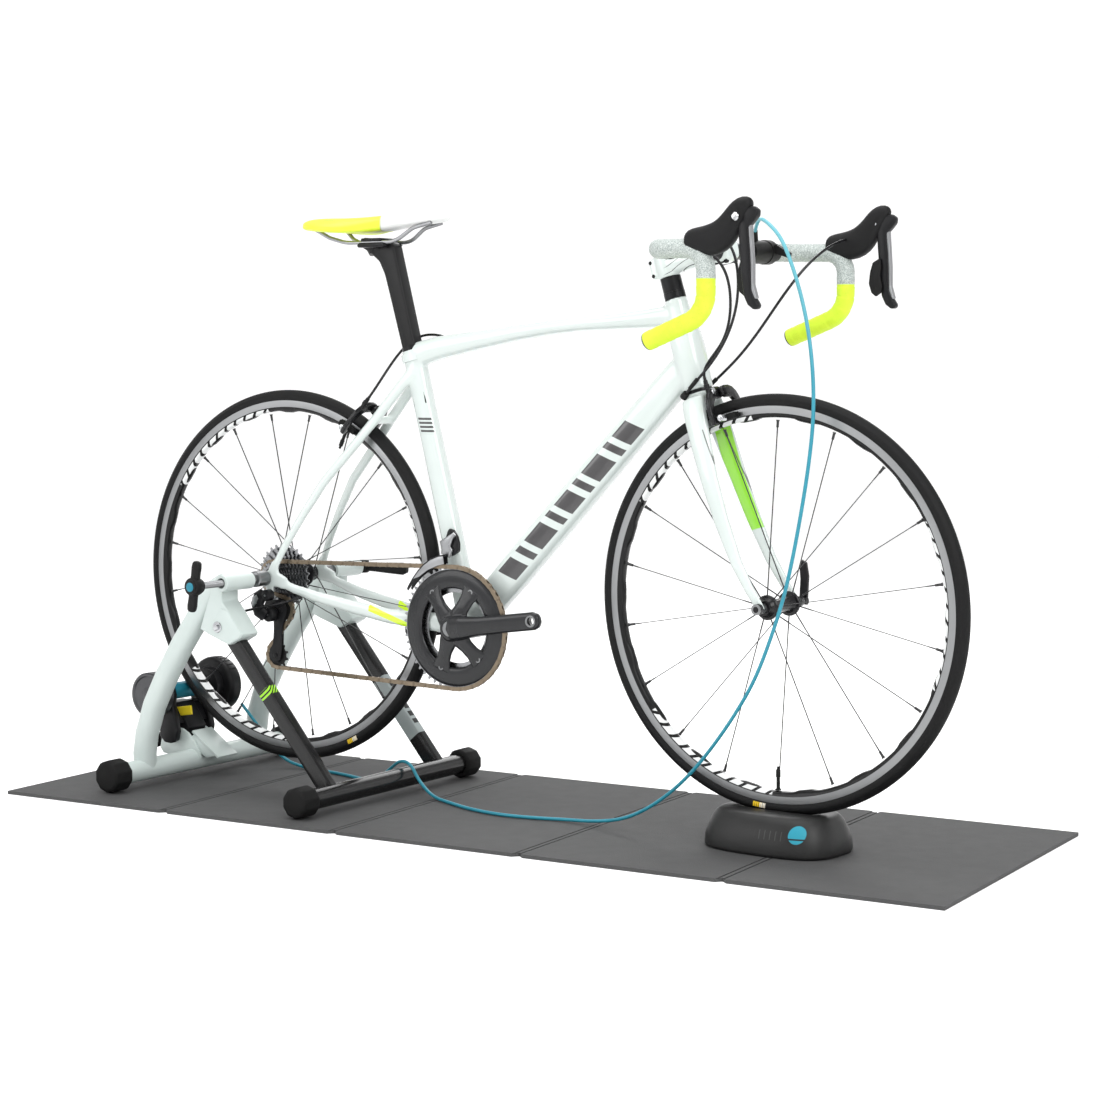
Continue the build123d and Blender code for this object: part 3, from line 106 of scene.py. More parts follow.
# ------------------------------------------------------------------ finishes
class Value:
    """One socket of a finish.  Sums on it add their Math nodes."""

    def __init__(self, finish, socket):
        self.finish, self.socket = finish, socket

    def calc(self, operation, *values, clamp=False):
        inputs = dict(enumerate((self,) + values))
        return self.finish.node("ShaderNodeMath", {"operation": operation, "use_clamp": clamp}, inputs)

    def __add__(self, other):
        return self.calc("ADD", other)

    __radd__ = __add__

    def __mul__(self, other):
        return self.calc("MULTIPLY", other)

    __rmul__ = __mul__

    def __sub__(self, other):
        return self.calc("SUBTRACT", other)

    def __rsub__(self, other):
        return self.finish.node("ShaderNodeMath", {"operation": "SUBTRACT"}, {0: other, 1: self})

    def __truediv__(self, other):
        return self.calc("DIVIDE", other)

    def over(self, edge, soft=0.0004):
        """0 below an edge, 1 above it, with a soft step between."""
        return ((self - edge) * (0.5 / soft)).calc("ADD", 0.5, clamp=True)

    def within(self, low, high, soft=0.0004):
        return self.over(low, soft) * (1 - self.over(high, soft))


class Finish:
    """A material on one Principled shader, and the nodes that feed it."""

    def __init__(self, name, color, roughness, **fixed):
        self.material = bpy.data.materials.new(name)
        self.material.use_nodes = True
        self.nodes, self.links = self.material.node_tree.nodes, self.material.node_tree.links
        self.shader = self.nodes["Principled BSDF"]
        self.shader.inputs["Base Color"].default_value = (*color, 1)
        self.shader.inputs["Roughness"].default_value = roughness
        for key, value in fixed.items():
            self.shader.inputs[key.replace("_", " ").title().replace("Ior", "IOR")].default_value = value
        self.material.diffuse_color = (*color, 1)

    def node(self, kind, settings=(), inputs=(), out=0):
        made = self.nodes.new(kind)
        for key, value in dict(settings).items():
            if key == "stops":
                ramp = made.color_ramp
                while len(ramp.elements) < len(value):
                    ramp.elements.new(0.5)
                for stop, (place, shade) in zip(ramp.elements, value):
                    stop.position, stop.color = place, shade
            else:
                setattr(made, key, value)
        for key, value in dict(inputs).items():
            if isinstance(value, Value):
                self.links.new(value.socket, made.inputs[key])
            else:
                made.inputs[key].default_value = value
        return Value(self, made.outputs[out])

    def place(self):
        return self.node("ShaderNodeTexCoord", out="Object")

    def moved(self, vector, shift=(0, 0, 0), turn=(0, 0, 0), scale=(1, 1, 1)):
        return self.node("ShaderNodeMapping", {}, {"Vector": vector, "Location": shift, "Rotation": turn,
                                                   "Scale": scale})

    def parts(self, vector):
        split = self.node("ShaderNodeSeparateXYZ", {}, {0: vector})
        return [Value(self, split.socket.node.outputs[n]) for n in range(3)]

    def grain(self, size, detail=2.0, vector=None, rough=0.5):
        """Soft noise whose lumps are about this many metres across."""
        return self.node("ShaderNodeTexNoise", {}, {"Vector": vector or self.place(), "Scale": 1 / size,
                                                    "Detail": detail, "Roughness": rough})

    def cells(self, size, vector=None, feature="F1"):
        return self.node("ShaderNodeTexVoronoi", {"feature": feature}, {"Vector": vector or self.place(),
                                                                          "Scale": 1 / size})

    def mix(self, factor, first, second):
        first = (*first, 1) if isinstance(first, tuple) and len(first) == 3 else first
        second = (*second, 1) if isinstance(second, tuple) and len(second) == 3 else second
        return self.node("ShaderNodeMix", {"data_type": "RGBA"}, {0: factor, 6: first, 7: second}, out=2)

    def bump(self, height, distance, strength=1.0, under=None):
        inputs = {"Height": height, "Distance": distance, "Strength": strength}
        if under:
            inputs["Normal"] = under
        return self.node("ShaderNodeBump", {}, inputs)

    def feed(self, **values):
        for key, value in values.items():
            self.links.new(value.socket, self.shader.inputs[key.replace("_", " ").title()])
        return self


def plain(name, color, roughness, size=0.004, spread=0.12, bumps=0.00004, **fixed):
    """A finish with slight colour and gloss variation and a fine surface."""
    finish = Finish(name, color, roughness, **fixed)
    cloud = finish.grain(size * 12, 3)
    fine = finish.grain(size * 0.2, 2)
    dark = tuple(v * (1 - spread) for v in color)
    light = tuple(min(1, v * (1 + spread)) for v in color)
    finish.feed(base_color=finish.mix(cloud, dark, light),
                roughness=cloud * (roughness * 0.5) + roughness * 0.75,
                normal=finish.bump(fine, bumps, 0.6))
    return finish.material


WHITE = (0.60, 0.655, 0.635)
NEON = (0.62, 0.9, 0.015)
BLACK = (0.008, 0.008, 0.009)


def stripes(value, width, gap):
    """Bars of one width that repeat along a value."""
    return value.calc("WRAP", width + gap, 0.0).within(0.0, width)


def bicycle_paint():
    finish = Finish("bicycle_paint", WHITE, 0.22, coat_weight=0.7, coat_roughness=0.05)
    x, y, z = finish.parts(finish.place())
    bb, top = at(*BB), on_axis(414)
    run = (top - bb).normalized()
    along = x * run.x + z * run.z - (bb.x * run.x + bb.z * run.z)
    above = z * run.x - x * run.z - (bb.z * run.x - bb.x * run.z)
    side = y.calc("ABSOLUTE")
    lean = along + above * 0.42
    bars = sum((lean.within(start, end) for start, end in (
        (0.130, 0.166), (0.180, 0.194), (0.206, 0.252), (0.266, 0.280), (0.292, 0.330), (0.343, 0.357),
        (0.369, 0.415),
        (0.429, 0.443), (0.455, 0.492))), 0.0)
    mark = bars * above.within(-0.019, 0.017) * side.over(0.0145) * z.over(0.35)
    # thin dark line under the top tube, and a neon flash on the chainstays
    tail = x.within(0.215, 0.36) * z.within(0.30, 0.375) * side.over(0.02)
    flash = tail * (z + x * 0.35 - 0.425).within(-0.006, 0.005) * (z - x * 0.9 - 0.06).within(-0.02, 0.12)
    label = (x + z * 0.28 - 0.503).within(-0.013, 0.013) * z.within(0.655, 0.685) * side.over(0.006)
    label = label * stripes(z, 0.004, 0.003)
    cloud = finish.grain(0.15, 3)
    tone = finish.mix(cloud, (0.53, 0.59, 0.57), WHITE)
    tone = finish.mix(mark, tone, (0.03, 0.028, 0.03))
    tone = finish.mix(flash, tone, NEON)
    tone = finish.mix(label, tone, (0.06, 0.06, 0.06))
    fine = finish.grain(0.0006, 2)
    finish.feed(base_color=tone, roughness=cloud * 0.08 + 0.16, normal=finish.bump(fine, 0.00002, 0.4))
    return finish.material


def fork_paint():
    finish = Finish("fork_paint", WHITE, 0.22, coat_weight=0.7, coat_roughness=0.05)
    x, y, z = finish.parts(finish.place())
    ahead = x * FORE.x + z * FORE.z - (FOOT.x * FORE.x + FOOT.z * FORE.z)
    up = x * UP.x + z * UP.z - (FOOT.x * UP.x + FOOT.z * UP.z)
    inner = (y + (up - 0.13) * 0.092).within(0.004, 0.047, 0.0006)
    flash = inner * up.within(0.13, 0.315, 0.001) * (ahead - up * 0.10).within(-0.035, 0.03)
    lines = (ahead + up * 0.12 - 0.048).within(-0.0009, 0.0009, 0.0003) * up.within(0.06, 0.3)
    cloud = finish.grain(0.12, 3)
    tone = finish.mix(cloud, (0.53, 0.59, 0.57), WHITE)
    tone = finish.mix(flash, tone, (0.24, 0.62, 0.02))
    tone = finish.mix(lines * 0.8, tone, (0.04, 0.04, 0.04))
    fine = finish.grain(0.0006, 2)
    finish.feed(base_color=tone, roughness=cloud * 0.08 + 0.16, normal=finish.bump(fine, 0.00002, 0.4))
    return finish.material


def stem_paint():
    """White with a few thin dark curves."""
    finish = Finish("stem_paint", WHITE, 0.22, coat_weight=0.7, coat_roughness=0.05)
    x, y, z = finish.parts(finish.place())
    sweep = (x * 52 + 1.4).calc("SINE") * 0.007
    curves = (z * 0.94 - x * 0.25 - sweep).calc("WRAP", 0.011, 0.0).within(0.0, 0.0011, 0.0002)
    curves = curves * x.within(0.800, 0.882, 0.004)
    cloud, fine = finish.grain(0.08, 3), finish.grain(0.0006, 2)
    tone = finish.mix(cloud, (0.53, 0.59, 0.57), WHITE)
    tone = finish.mix(curves, tone, (0.04, 0.04, 0.045))
    finish.feed(base_color=tone, roughness=cloud * 0.08 + 0.16, normal=finish.bump(fine, 0.00002, 0.4))
    return finish.material


def stand_paint():
    finish = Finish("stand_paint", (0.52, 0.58, 0.56), 0.34)
    cloud, fine = finish.grain(0.12, 3), finish.grain(0.0012, 3)
    tone = finish.mix(cloud, (0.47, 0.54, 0.52), (0.57, 0.63, 0.61))
    finish.feed(base_color=tone, roughness=fine * 0.15 + 0.26, normal=finish.bump(fine, 0.0001, 0.35))
    return finish.material


def black_leg_paint():
    finish = Finish("black_leg_paint", BLACK, 0.2, specular_ior_level=0.35)
    x, y, z = finish.parts(finish.place())
    leg_top = at(*LEG_TOP)
    run = (at(*FRONT_FOOT) - leg_top).normalized()
    along = x * run.x + z * run.z - (leg_top.x * run.x + leg_top.z * run.z)
    left = y.over(0.10)
    sleeve = left * along.within(0.155, 0.285)
    text_bars = sleeve * stripes(along, 0.011, 0.006) * along.within(0.17, 0.265)
    text_bars = text_bars * (y - 0.155).calc("ABSOLUTE").within(-0.01, 0.0065)
    green = (1 - left) * along.within(0.135, 0.150, 0.001) * stripes(along + y, 0.004, 0.003)
    cloud, fine = finish.grain(0.05, 3), finish.grain(0.0015, 2)
    tone = finish.mix(cloud, (0.006, 0.006, 0.006), (0.012, 0.012, 0.0125))
    tone = finish.mix(sleeve, tone, (0.33, 0.37, 0.37))
    tone = finish.mix(text_bars, tone, (0.03, 0.03, 0.03))
    tone = finish.mix(green, tone, (0.3, 0.65, 0.03))
    finish.feed(base_color=tone, roughness=cloud * 0.12 + 0.14, normal=finish.bump(fine, 0.00005, 0.4))
    return finish.material


def foam():
    """The mat's pebbled closed-cell foam."""
    finish = Finish("foam", (0.05, 0.051, 0.053), 0.82)
    here = finish.place()
    pebbles = finish.cells(0.0022, here)
    cloud, wide = finish.grain(0.03, 4, here), finish.grain(0.4, 2, here)
    x, y, z = finish.parts(here)
    tone = finish.mix(cloud * 0.5 + wide * 0.5, (0.040, 0.040, 0.041), (0.062, 0.0625, 0.063))
    dust = (finish.grain(0.006, 4, here, 0.7) - 0.60).calc("MULTIPLY", 4.0, clamp=True)
    tone = finish.mix(dust * 0.25, tone, (0.12, 0.12, 0.12))
    finish.feed(base_color=tone, roughness=cloud * 0.2 + 0.68, normal=finish.bump(pebbles, 0.0004, 0.5))
    return finish.material


def tyre_rubber(centre, turned):
    """Black rubber: smooth tread, fine ribs on the shoulder and a small printed label."""
    finish = Finish("tyre_rubber_front" if turned else "tyre_rubber_rear", (0.010, 0.010, 0.011), 0.6,
                    specular_ior_level=0.12)
    x, y, z = wheel_place(finish, centre, turned)
    radius = (x * x + z * z).calc("SQRT")
    around = z.calc("ARCTAN2", x)
    side = 1 - radius.over(0.3285, 0.0008)
    ribs = (around * 900).calc("SINE") * side
    weave = ((around * 330 + radius * 900).calc("SINE") + (around * 330 - radius * 900).calc("SINE")) * 0.25 + 0.5
    line = radius.within(0.3274, 0.3282, 0.0002)
    start = -1.66 if turned else -1.1
    label = (around - start).within(-0.036, 0.036, 0.001) * radius.within(0.3195, 0.3275, 0.0002)
    white = label * (around - start).over(0.004, 0.0006)
    fine = finish.grain(0.003, 3)
    tone = finish.mix(fine, (0.006, 0.006, 0.006), (0.013, 0.013, 0.0135))
    tone = finish.mix(label * stripes(around, 0.009, 0.002), tone, (0.75, 0.5, 0.02))
    tone = finish.mix(white * stripes(around, 0.006, 0.003), tone, (0.7, 0.7, 0.68))
    height = ribs * 0.12 + weave * side * 0.25 + line * -0.6
    finish.feed(base_color=tone, roughness=fine * 0.25 + 0.42, normal=finish.bump(height, 0.0005, 0.5))
    return finish.material


def wheel_place(finish, centre, turned):
    """Coordinates about a wheel's own axle."""
    here = finish.place()
    if turned:
        here = finish.moved(here, shift=tuple(-v for v in FOOT))
        lean = pi / 2 - HEAD
        here = finish.moved(here, turn=(0, lean, 0))
        here = finish.moved(here, turn=(0, 0, REST_TURN))
        here = finish.moved(here, turn=(0, -lean, 0))
        here = finish.moved(here, shift=tuple(FOOT))
    return finish.parts(finish.moved(here, shift=tuple(-v for v in centre)))


def rim_finish(centre, turned):
    """Black rim with a machined brake track and plain white dashes where the maker's words were."""
    finish = Finish("rim_front" if turned else "rim_rear", BLACK, 0.3, specular_ior_level=0.2)
    x, y, z = wheel_place(finish, centre, turned)
    radius = (x * x + z * z).calc("SQRT")
    around = z.calc("ARCTAN2", x)
    track = radius.within(0.3055, 0.3172, 0.0002)
    thirds = (around * (3 / (2 * pi)) + 0.18).calc("WRAP", 1.0, 0.0)
    dash_zone = thirds.within(0.0, 0.42, 0.002) * radius.within(0.2972, 0.3038, 0.0002)
    dashes = dash_zone * stripes(around + (radius - 0.3) * 4.0, 0.060, 0.024)
    grooves = (radius * 42000).calc("SINE")
    cloud = finish.grain(0.03, 3)
    tone = finish.mix(cloud, (0.006, 0.006, 0.006), (0.012, 0.012, 0.0125))
    tone = finish.mix(track, tone, (0.27, 0.275, 0.28))
    tone = finish.mix(dashes, tone, (0.72, 0.73, 0.73))
    finish.feed(base_color=tone, metallic=track, roughness=track * 0.12 + 0.24,
                normal=finish.bump(grooves * track, 0.00004, 0.3))
    return finish.material


def tape_finish():
    """Grey speckled tape that changes to neon on the drops."""
    finish = Finish("bar_tape", (0.55, 0.58, 0.55), 0.6)
    here = finish.place()
    x, y, z = finish.parts(here)
    edge = at(0, 901).z
    low = 1 - z.over(edge, 0.0007)
    speck = (finish.grain(0.0016, 3, here, 0.8) - 0.44).calc("MULTIPLY", 7.0, clamp=True)
    dots = 1 - (finish.cells(0.0034, here) - 0.13).calc("MULTIPLY", 14.0, clamp=True)
    grey = finish.mix(speck, (0.24, 0.28, 0.265), (0.56, 0.60, 0.58))
    grey = finish.mix(dots * 0.45, grey, (0.25, 0.27, 0.26))
    neon = finish.mix(finish.grain(0.02, 3, here), (0.52, 0.74, 0.02), (0.66, 0.84, 0.04))
    neon = finish.mix(dots * 0.5, neon, (0.36, 0.55, 0.01))
    tone = finish.mix(low, grey, neon)
    height = dots * -0.6 + finish.grain(0.0008, 3, here) * 0.5
    finish.feed(base_color=tone, normal=finish.bump(height, 0.0003, 0.5))
    return finish.material


def saddle_cover():
    finish = Finish("saddle_cover", (0.82, 0.82, 0.80), 0.42)
    here = finish.place()
    x, y, z = finish.parts(here)
    side = y.calc("ABSOLUTE")
    tail = 1 - (x + side * -0.55).over(0.214, 0.0006)
    leather = finish.cells(0.0012, here)
    white = finish.mix(finish.grain(0.05, 3, here), (0.62, 0.63, 0.62), (0.74, 0.75, 0.74))
    neon = finish.mix(finish.grain(0.03, 3, here), (0.62, 0.78, 0.03), (0.78, 0.90, 0.05))
    tone = finish.mix(tail, white, neon)
    seam = (x + side * -0.55).within(0.2128, 0.2152, 0.0003)
    slits = tail * stripes(side, 0.0014, 0.010) * x.within(0.118, 0.142, 0.002) * side.within(0.012, 0.05)
    tone = finish.mix(slits, tone, (0.05, 0.06, 0.02))
    tone = finish.mix(seam * 0.6, tone, (0.3, 0.32, 0.2))
    height = leather * 0.25 + seam * -1.0 + slits * -1.5
    finish.feed(base_color=tone, roughness=leather * 0.1 + 0.38, normal=finish.bump(height, 0.0004, 0.5))
    return finish.material


def speckled_metal(name, color, roughness, streak=(1, 1, 1), metallic=1.0):
    """Metal with brush marks or fine handling marks."""
    finish = Finish(name, color, roughness, metallic=metallic)
    lines = finish.grain(0.002, 3, finish.moved(finish.place(), scale=streak), 0.6)
    cloud = finish.grain(0.02, 3)
    dark = tuple(v * 0.75 for v in color)
    finish.feed(base_color=finish.mix(cloud, dark, color),
                roughness=lines * (roughness * 0.7) + roughness * 0.6,
                normal=finish.bump(lines, 0.00005, 0.4))
    return finish.material


def cord_jacket():
    finish = Finish("cord_jacket", (0.03, 0.36, 0.50), 0.38)
    x, y, z = finish.parts(finish.place())
    # painted highlight: the cord is paler higher up, standing in for the light that falls on its top
    painted_top_light = z.over(0.86, 0.10)
    cloud = finish.grain(0.03, 3)
    tone = finish.mix(cloud, (0.012, 0.20, 0.28), (0.02, 0.27, 0.36))
    tone = finish.mix(painted_top_light * 0.7, tone, (0.16, 0.46, 0.52))
    fine = finish.grain(0.0008, 2)
    finish.feed(base_color=tone, normal=finish.bump(fine, 0.00004, 0.5))
    return finish.material


def riser_plastic():
    """Grained black plastic with a round blue-green mark and plain grey bars on its right side."""
    finish = Finish("riser_plastic", (0.011, 0.011, 0.011), 0.45, specular_ior_level=0.35)
    x, y, z = finish.parts(finish.place())
    near = 1 - y.over(-0.05)
    away = ((x - 1.072) * (x - 1.072) + (z - 0.0445) * (z - 0.0445)).calc("SQRT")
    dot = near * (1 - away.over(0.0135)) * (1 - (z - 0.038).within(-0.0012, 0.0012))
    bars = near * x.within(1.000, 1.052) * z.within(0.034, 0.048) * stripes(x, 0.0016, 0.0080)
    cloud, fine = finish.grain(0.02, 3), finish.cells(0.0009)
    tone = finish.mix(cloud, (0.009, 0.009, 0.009), (0.015, 0.015, 0.015))
    tone = finish.mix(bars * 0.5, tone, (0.06, 0.06, 0.06))
    tone = finish.mix(dot, tone, (0.02, 0.28, 0.38))
    finish.feed(base_color=tone, roughness=cloud * 0.15 + 0.36, normal=finish.bump(fine, 0.0002, 0.35))
    return finish.material


FRONT_C, REAR_C = at(*FRONT_AXLE), at(*REAR_AXLE)
paint = bicycle_paint()
fork_white = fork_paint()
stem_white = stem_paint()
stand_white = stand_paint()
leg_black = black_leg_paint()
mat_foam = foam()
gloss_black = plain("gloss_black", (0.008, 0.008, 0.009), 0.22, specular_ior_level=0.3)
satin_black = plain("satin_black", (0.008, 0.008, 0.009), 0.36, specular_ior_level=0.2)
ring_gloss = plain("ring_gloss", (0.012, 0.0125, 0.014), 0.24, coat_weight=0.25, coat_roughness=0.1,
                   specular_ior_level=0.25)
carbon_black = plain("carbon_black", (0.010, 0.010, 0.0105), 0.38, specular_ior_level=0.2)
moulded_black = plain("moulded_black", (0.009, 0.009, 0.009), 0.5, size=0.003, bumps=0.0001,
                      specular_ior_level=0.18)
rubber_black = plain("rubber_black", (0.009, 0.009, 0.009), 0.66, size=0.002, bumps=0.00015,
                     specular_ior_level=0.12)
hood_black = plain("hood_black", (0.010, 0.010, 0.0105), 0.5, size=0.0015, bumps=0.0002,
                   specular_ior_level=0.15)
dark_steel = speckled_metal("dark_steel", (0.10, 0.10, 0.105), 0.4)
bright_alloy = speckled_metal("bright_alloy", (0.56, 0.57, 0.585), 0.22)
satin_alloy = speckled_metal("satin_alloy", (0.34, 0.345, 0.355), 0.34)
grey_steel = speckled_metal("grey_steel", (0.24, 0.245, 0.25), 0.34)
spoke_steel = plain("spoke_steel", (0.012, 0.012, 0.013), 0.35)
chain_steel = speckled_metal("chain_steel", (0.23, 0.185, 0.135), 0.36)
cog_steel = speckled_metal("cog_steel", (0.30, 0.305, 0.315), 0.3)
teal_alloy = plain("teal_alloy", (0.012, 0.19, 0.27), 0.4, metallic=0.3)
yellow_label = plain("yellow_label", (0.80, 0.62, 0.02), 0.45)
tape_cloth = tape_finish()
cover = saddle_cover()
jacket = cord_jacket()
riser_black = riser_plastic()
FINISH_OF_SLOT = {
    "frame_paint": paint, "fork_paint": fork_white, "stand_paint": stand_white, "stand_black": leg_black,
    "alloy": satin_alloy, "polished_alloy": bright_alloy, "black_alloy": satin_black, "steel": grey_steel,
    "chain_steel": chain_steel, "cog_steel": cog_steel, "spoke_steel": spoke_steel, "rubber": rubber_black,
    "mat_foam": mat_foam, "riser_plastic": moulded_black, "black_plastic": moulded_black,
    "cover_plastic": satin_black, "cord_jacket": jacket, "housing_jacket": gloss_black, "tape": tape_cloth,
    "hood_rubber": hood_black, "saddle_cover": cover, "roller_finish": teal_alloy,
}
body_of = {node: body for body, nodes in frame["record"]["behaviour"]["bodies"].items() for node in nodes}
slot_of = {row["node"]: row["material_slot"] for row in frame["record"]["subparts"]}
finish_of = {node: FINISH_OF_SLOT.get(slot) for node, slot in slot_of.items()}
for wheel, centre, turned in (("front", FRONT_C, True), ("rear", REAR_C, False)):
    finish_of[f"{wheel}_tyre"] = tyre_rubber(centre, turned)
    finish_of[f"{wheel}_rim"] = rim_finish(centre, turned)
finish_of["cranks_and_spider"] = ring_gloss
finish_of["seatpost"] = carbon_black
for node, thing in frame["nodes"].items():
    thing.data.materials.clear()
    thing.data.materials.append(finish_of[node])


# ------------------------------------------------------------------ making meshes
def ring_edges(verts):
    ring = set(verts)
    return list({e for v in verts for e in v.link_edges if e.other_vert(v) in ring})


def section(bm, centre, along, depth, width, square=2.0, segments=24, across=(0, 1, 0)):
    """A closed oval or squarish loop of points across a direction; sizes in millimetres."""
    along = Vector(along).normalized()
    across = Vector(across)
    across = (across - along * across.dot(along)).normalized()
    upward = along.cross(across)
    verts = bmesh.ops.create_circle(bm, segments=segments, radius=1)["verts"]
    for v in verts:
        c, s = v.co.x, v.co.y
        k = (abs(c) ** square + abs(s) ** square) ** (-1 / square)
        v.co = centre + upward * (c * k * depth / 2000) + across * (s * k * width / 2000)
    return verts


def skin(bm, loops, closed_ends=True):
    """Walls between one loop and the next, and a cap on each end."""
    for first, second in zip(loops, loops[1:]):
        bmesh.ops.bridge_loops(bm, edges=ring_edges(first) + ring_edges(second))
    if closed_ends:
        for loop in (loops[0], loops[-1]):
            bmesh.ops.edgeloop_fill(bm, edges=ring_edges(loop))


def tube(bm, rows, square=2.0, segments=24, across=(0, 1, 0), closed_ends=True):
    """A lofted tube through (centre, depth, width) rows."""
    centres = [row[0] for row in rows]
    loops = []
    for n, row in enumerate(rows):
        before, after = centres[max(n - 1, 0)], centres[min(n + 1, len(rows) - 1)]
        loops.append(section(bm, row[0], after - before, row[1], row[2], row[3] if len(row) > 3 else square,
                             segments, across))
    skin(bm, loops, closed_ends)
    return loops


def bar(bm, start, end, radius, end_radius=None, segments=20):
    """A plain round bar between two points; radii in millimetres."""
    start, end = Vector(start), Vector(end)
    across = (0, 1, 0) if abs((end - start).normalized().y) < 0.9 else (1, 0, 0)
    tube(bm, [(start, 2 * radius, 2 * radius), (end, 2 * (end_radius or radius), 2 * (end_radius or radius))],
         segments=segments, across=across)


def turned_shape(bm, profile, centre, steps=48, axis=(0, 1, 0), closed=True):
    """Spins a (radius, offset) profile, in millimetres, about an axis through a centre."""
    axis = Vector(axis).normalized()
    out = Vector((1, 0, 0)) if abs(axis.x) < 0.9 else Vector((0, 0, 1))
    out = (out - axis * out.dot(axis)).normalized()
    verts = [bm.verts.new(centre + out * (r / 1000) + axis * (y / 1000)) for r, y in profile]
    edges = [bm.edges.new(pair) for pair in zip(verts, verts[1:] + verts[:1] if closed else verts[1:])]
    bmesh.ops.spin(bm, geom=verts + edges, cent=centre, axis=axis, angle=2 * pi, steps=steps, use_merge=True)


def soften(bm, verts, soft, segments):
    """Rounds every edge at some points by a few tenths of a millimetre or more."""
    if soft:
        edges = list({e for v in set(verts) for e in v.link_edges})
        bmesh.ops.bevel(bm, geom=edges, offset=soft / 1000, offset_type="OFFSET", affect="EDGES",
                        segments=segments, profile=0.5, material=-1, clamp_overlap=True)


def slab(bm, outline, y_from, y_to, soft=0.0, segments=2):
    """A flat plate with an (x, height) outline in millimetres, between two y values, with softened edges."""
    verts = [bm.verts.new(at(x, z, y_from)) for x, z in outline]
    face = bm.faces.new(verts)
    grown = bmesh.ops.extrude_face_region(bm, geom=[face])["geom"]
    moved = [g for g in grown if isinstance(g, bmesh.types.BMVert)]
    bmesh.ops.translate(bm, verts=moved, vec=(0, (y_to - y_from) / 1000, 0))
    soften(bm, verts + moved, soft, segments)


def mirrored(bm):
    """Adds the mirror image on the other side of the bicycle."""
    copy = bmesh.ops.duplicate(bm, geom=bm.verts[:] + bm.edges[:] + bm.faces[:])["geom"]
    verts = [g for g in copy if isinstance(g, bmesh.types.BMVert)]
    bmesh.ops.scale(bm, verts=verts, vec=(1, -1, 1))


def with_bars(bm):
    """Turns a shape with the bars, which rest pointing slightly right."""
    bmesh.ops.rotate(bm, verts=bm.verts, cent=FOOT, matrix=BARS_TURN)


def piece(name, bm, material, body, stands_for=(), sharp=35, turned=False):
    if turned:
        with_bars(bm)
    bmesh.ops.remove_doubles(bm, verts=bm.verts, dist=1e-6)
    bmesh.ops.recalc_face_normals(bm, faces=bm.faces)
    mesh = bpy.data.meshes.new(name)
    bm.to_mesh(mesh)
    bm.free()
    mesh.polygons.foreach_set("use_smooth", [True] * len(mesh.polygons))
    mesh.set_sharp_from_angle(angle=radians(sharp))
    mesh.materials.append(material)
    thing = bpy.data.objects.new(name, mesh)
    scene.collection.objects.link(thing)
    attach(thing, body)
    if stands_for:
        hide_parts(*stands_for)
    return thing


def modify(thing, kind, **settings):
    added = thing.modifiers.new(kind.lower(), kind)
    for key, value in settings.items():
        setattr(added, key, value)
    if kind == "SUBSURF":
        added.render_levels = added.levels
    return thing


def applied(thing):
    """Keeps what the piece's modifiers make of its mesh, and drops them."""
    made = bpy.data.meshes.new_from_object(thing.evaluated_get(bpy.context.evaluated_depsgraph_get()))
    thing.modifiers.clear()
    thing.data = made
    return thing


def grown_together(thing, voxel, rounds):
    """Adds the modifiers that melt overlapping solids into one smooth shell."""
    modify(thing, "REMESH", mode="VOXEL", voxel_size=voxel, use_smooth_shade=True)
    modify(thing, "SMOOTH", factor=0.6, iterations=rounds)


def one_skin(thing, voxel, rounds):
    grown_together(thing, voxel, rounds)
    applied(thing)
    thing.data.polygons.foreach_set("use_smooth", [True] * len(thing.data.polygons))


def cut_out(thing, name, bm):
    """Cuts a shape out of a piece and keeps the result."""
    mesh = bpy.data.meshes.new(name)
    bm.to_mesh(mesh)
    bm.free()
    cutter = bpy.data.objects.new(name, mesh)
    scene.collection.objects.link(cutter)
    modify(thing, "BOOLEAN", operation="DIFFERENCE", object=cutter, solver="EXACT")
    applied(thing)
    bpy.data.objects.remove(cutter)


def take_in(bm, other):
    """Adds another shape's faces to this one."""
    mesh = bpy.data.meshes.new("joined_shape")
    other.to_mesh(mesh)
    other.free()
    bm.from_mesh(mesh)
    bpy.data.meshes.remove(mesh)


def wire(name, points, radius, material, body, resolution=8, turned=False, order=4):
    """A smooth round line through control points, as a curve."""
    curve = bpy.data.curves.new(name, "CURVE")
    curve.dimensions = "3D"
    curve.bevel_depth, curve.bevel_resolution, curve.use_fill_caps = radius / 1000, 4, True
    line = curve.splines.new("NURBS")
    line.points.add(len(points) - 1)
    for point, place in zip(line.points, points):
        place = FOOT + BARS_TURN @ (Vector(place) - FOOT) if turned else Vector(place)
        point.co = (*place, 1)
    line.order_u, line.use_endpoint_u, line.resolution_u = order, True, resolution
    curve.materials.append(material)
    thing = bpy.data.objects.new(name, curve)
    scene.collection.objects.link(thing)
    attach(thing, body)
    return thing


def rounded(points, radii, step=3.0):
    """Points every few millimetres along straight runs joined by arcs, for a bent metal bar."""
    found = [points[0]]
    for before, here, after, radius in zip(points, points[1:], points[2:], radii):
        run_in, run_out = (here - before).normalized(), (after - here).normalized()
        turn = run_in.angle(run_out)
        cut = radius / 1000 * tan(turn / 2)
        start = here - run_in * cut
        middle = start + (run_out - run_in * cos(turn)).normalized() * (radius / 1000)
        turn_axis = run_in.cross(run_out).normalized()
        straight = start - found[-1]
        count = max(1, int(straight.length * 1000 / step))
        found += [found[-1].lerp(start, n / count) for n in range(1, count)]
        count = max(3, int(radius * turn / step))
        for n in range(count + 1):
            found.append(middle + Matrix.Rotation(turn * n / count, 3, turn_axis) @ (start - middle))
    count = max(1, int((points[-1] - found[-1]).length * 1000 / step))
    last = found[-1]
    found += [last.lerp(points[-1], n / count) for n in range(1, count + 1)]
    return found


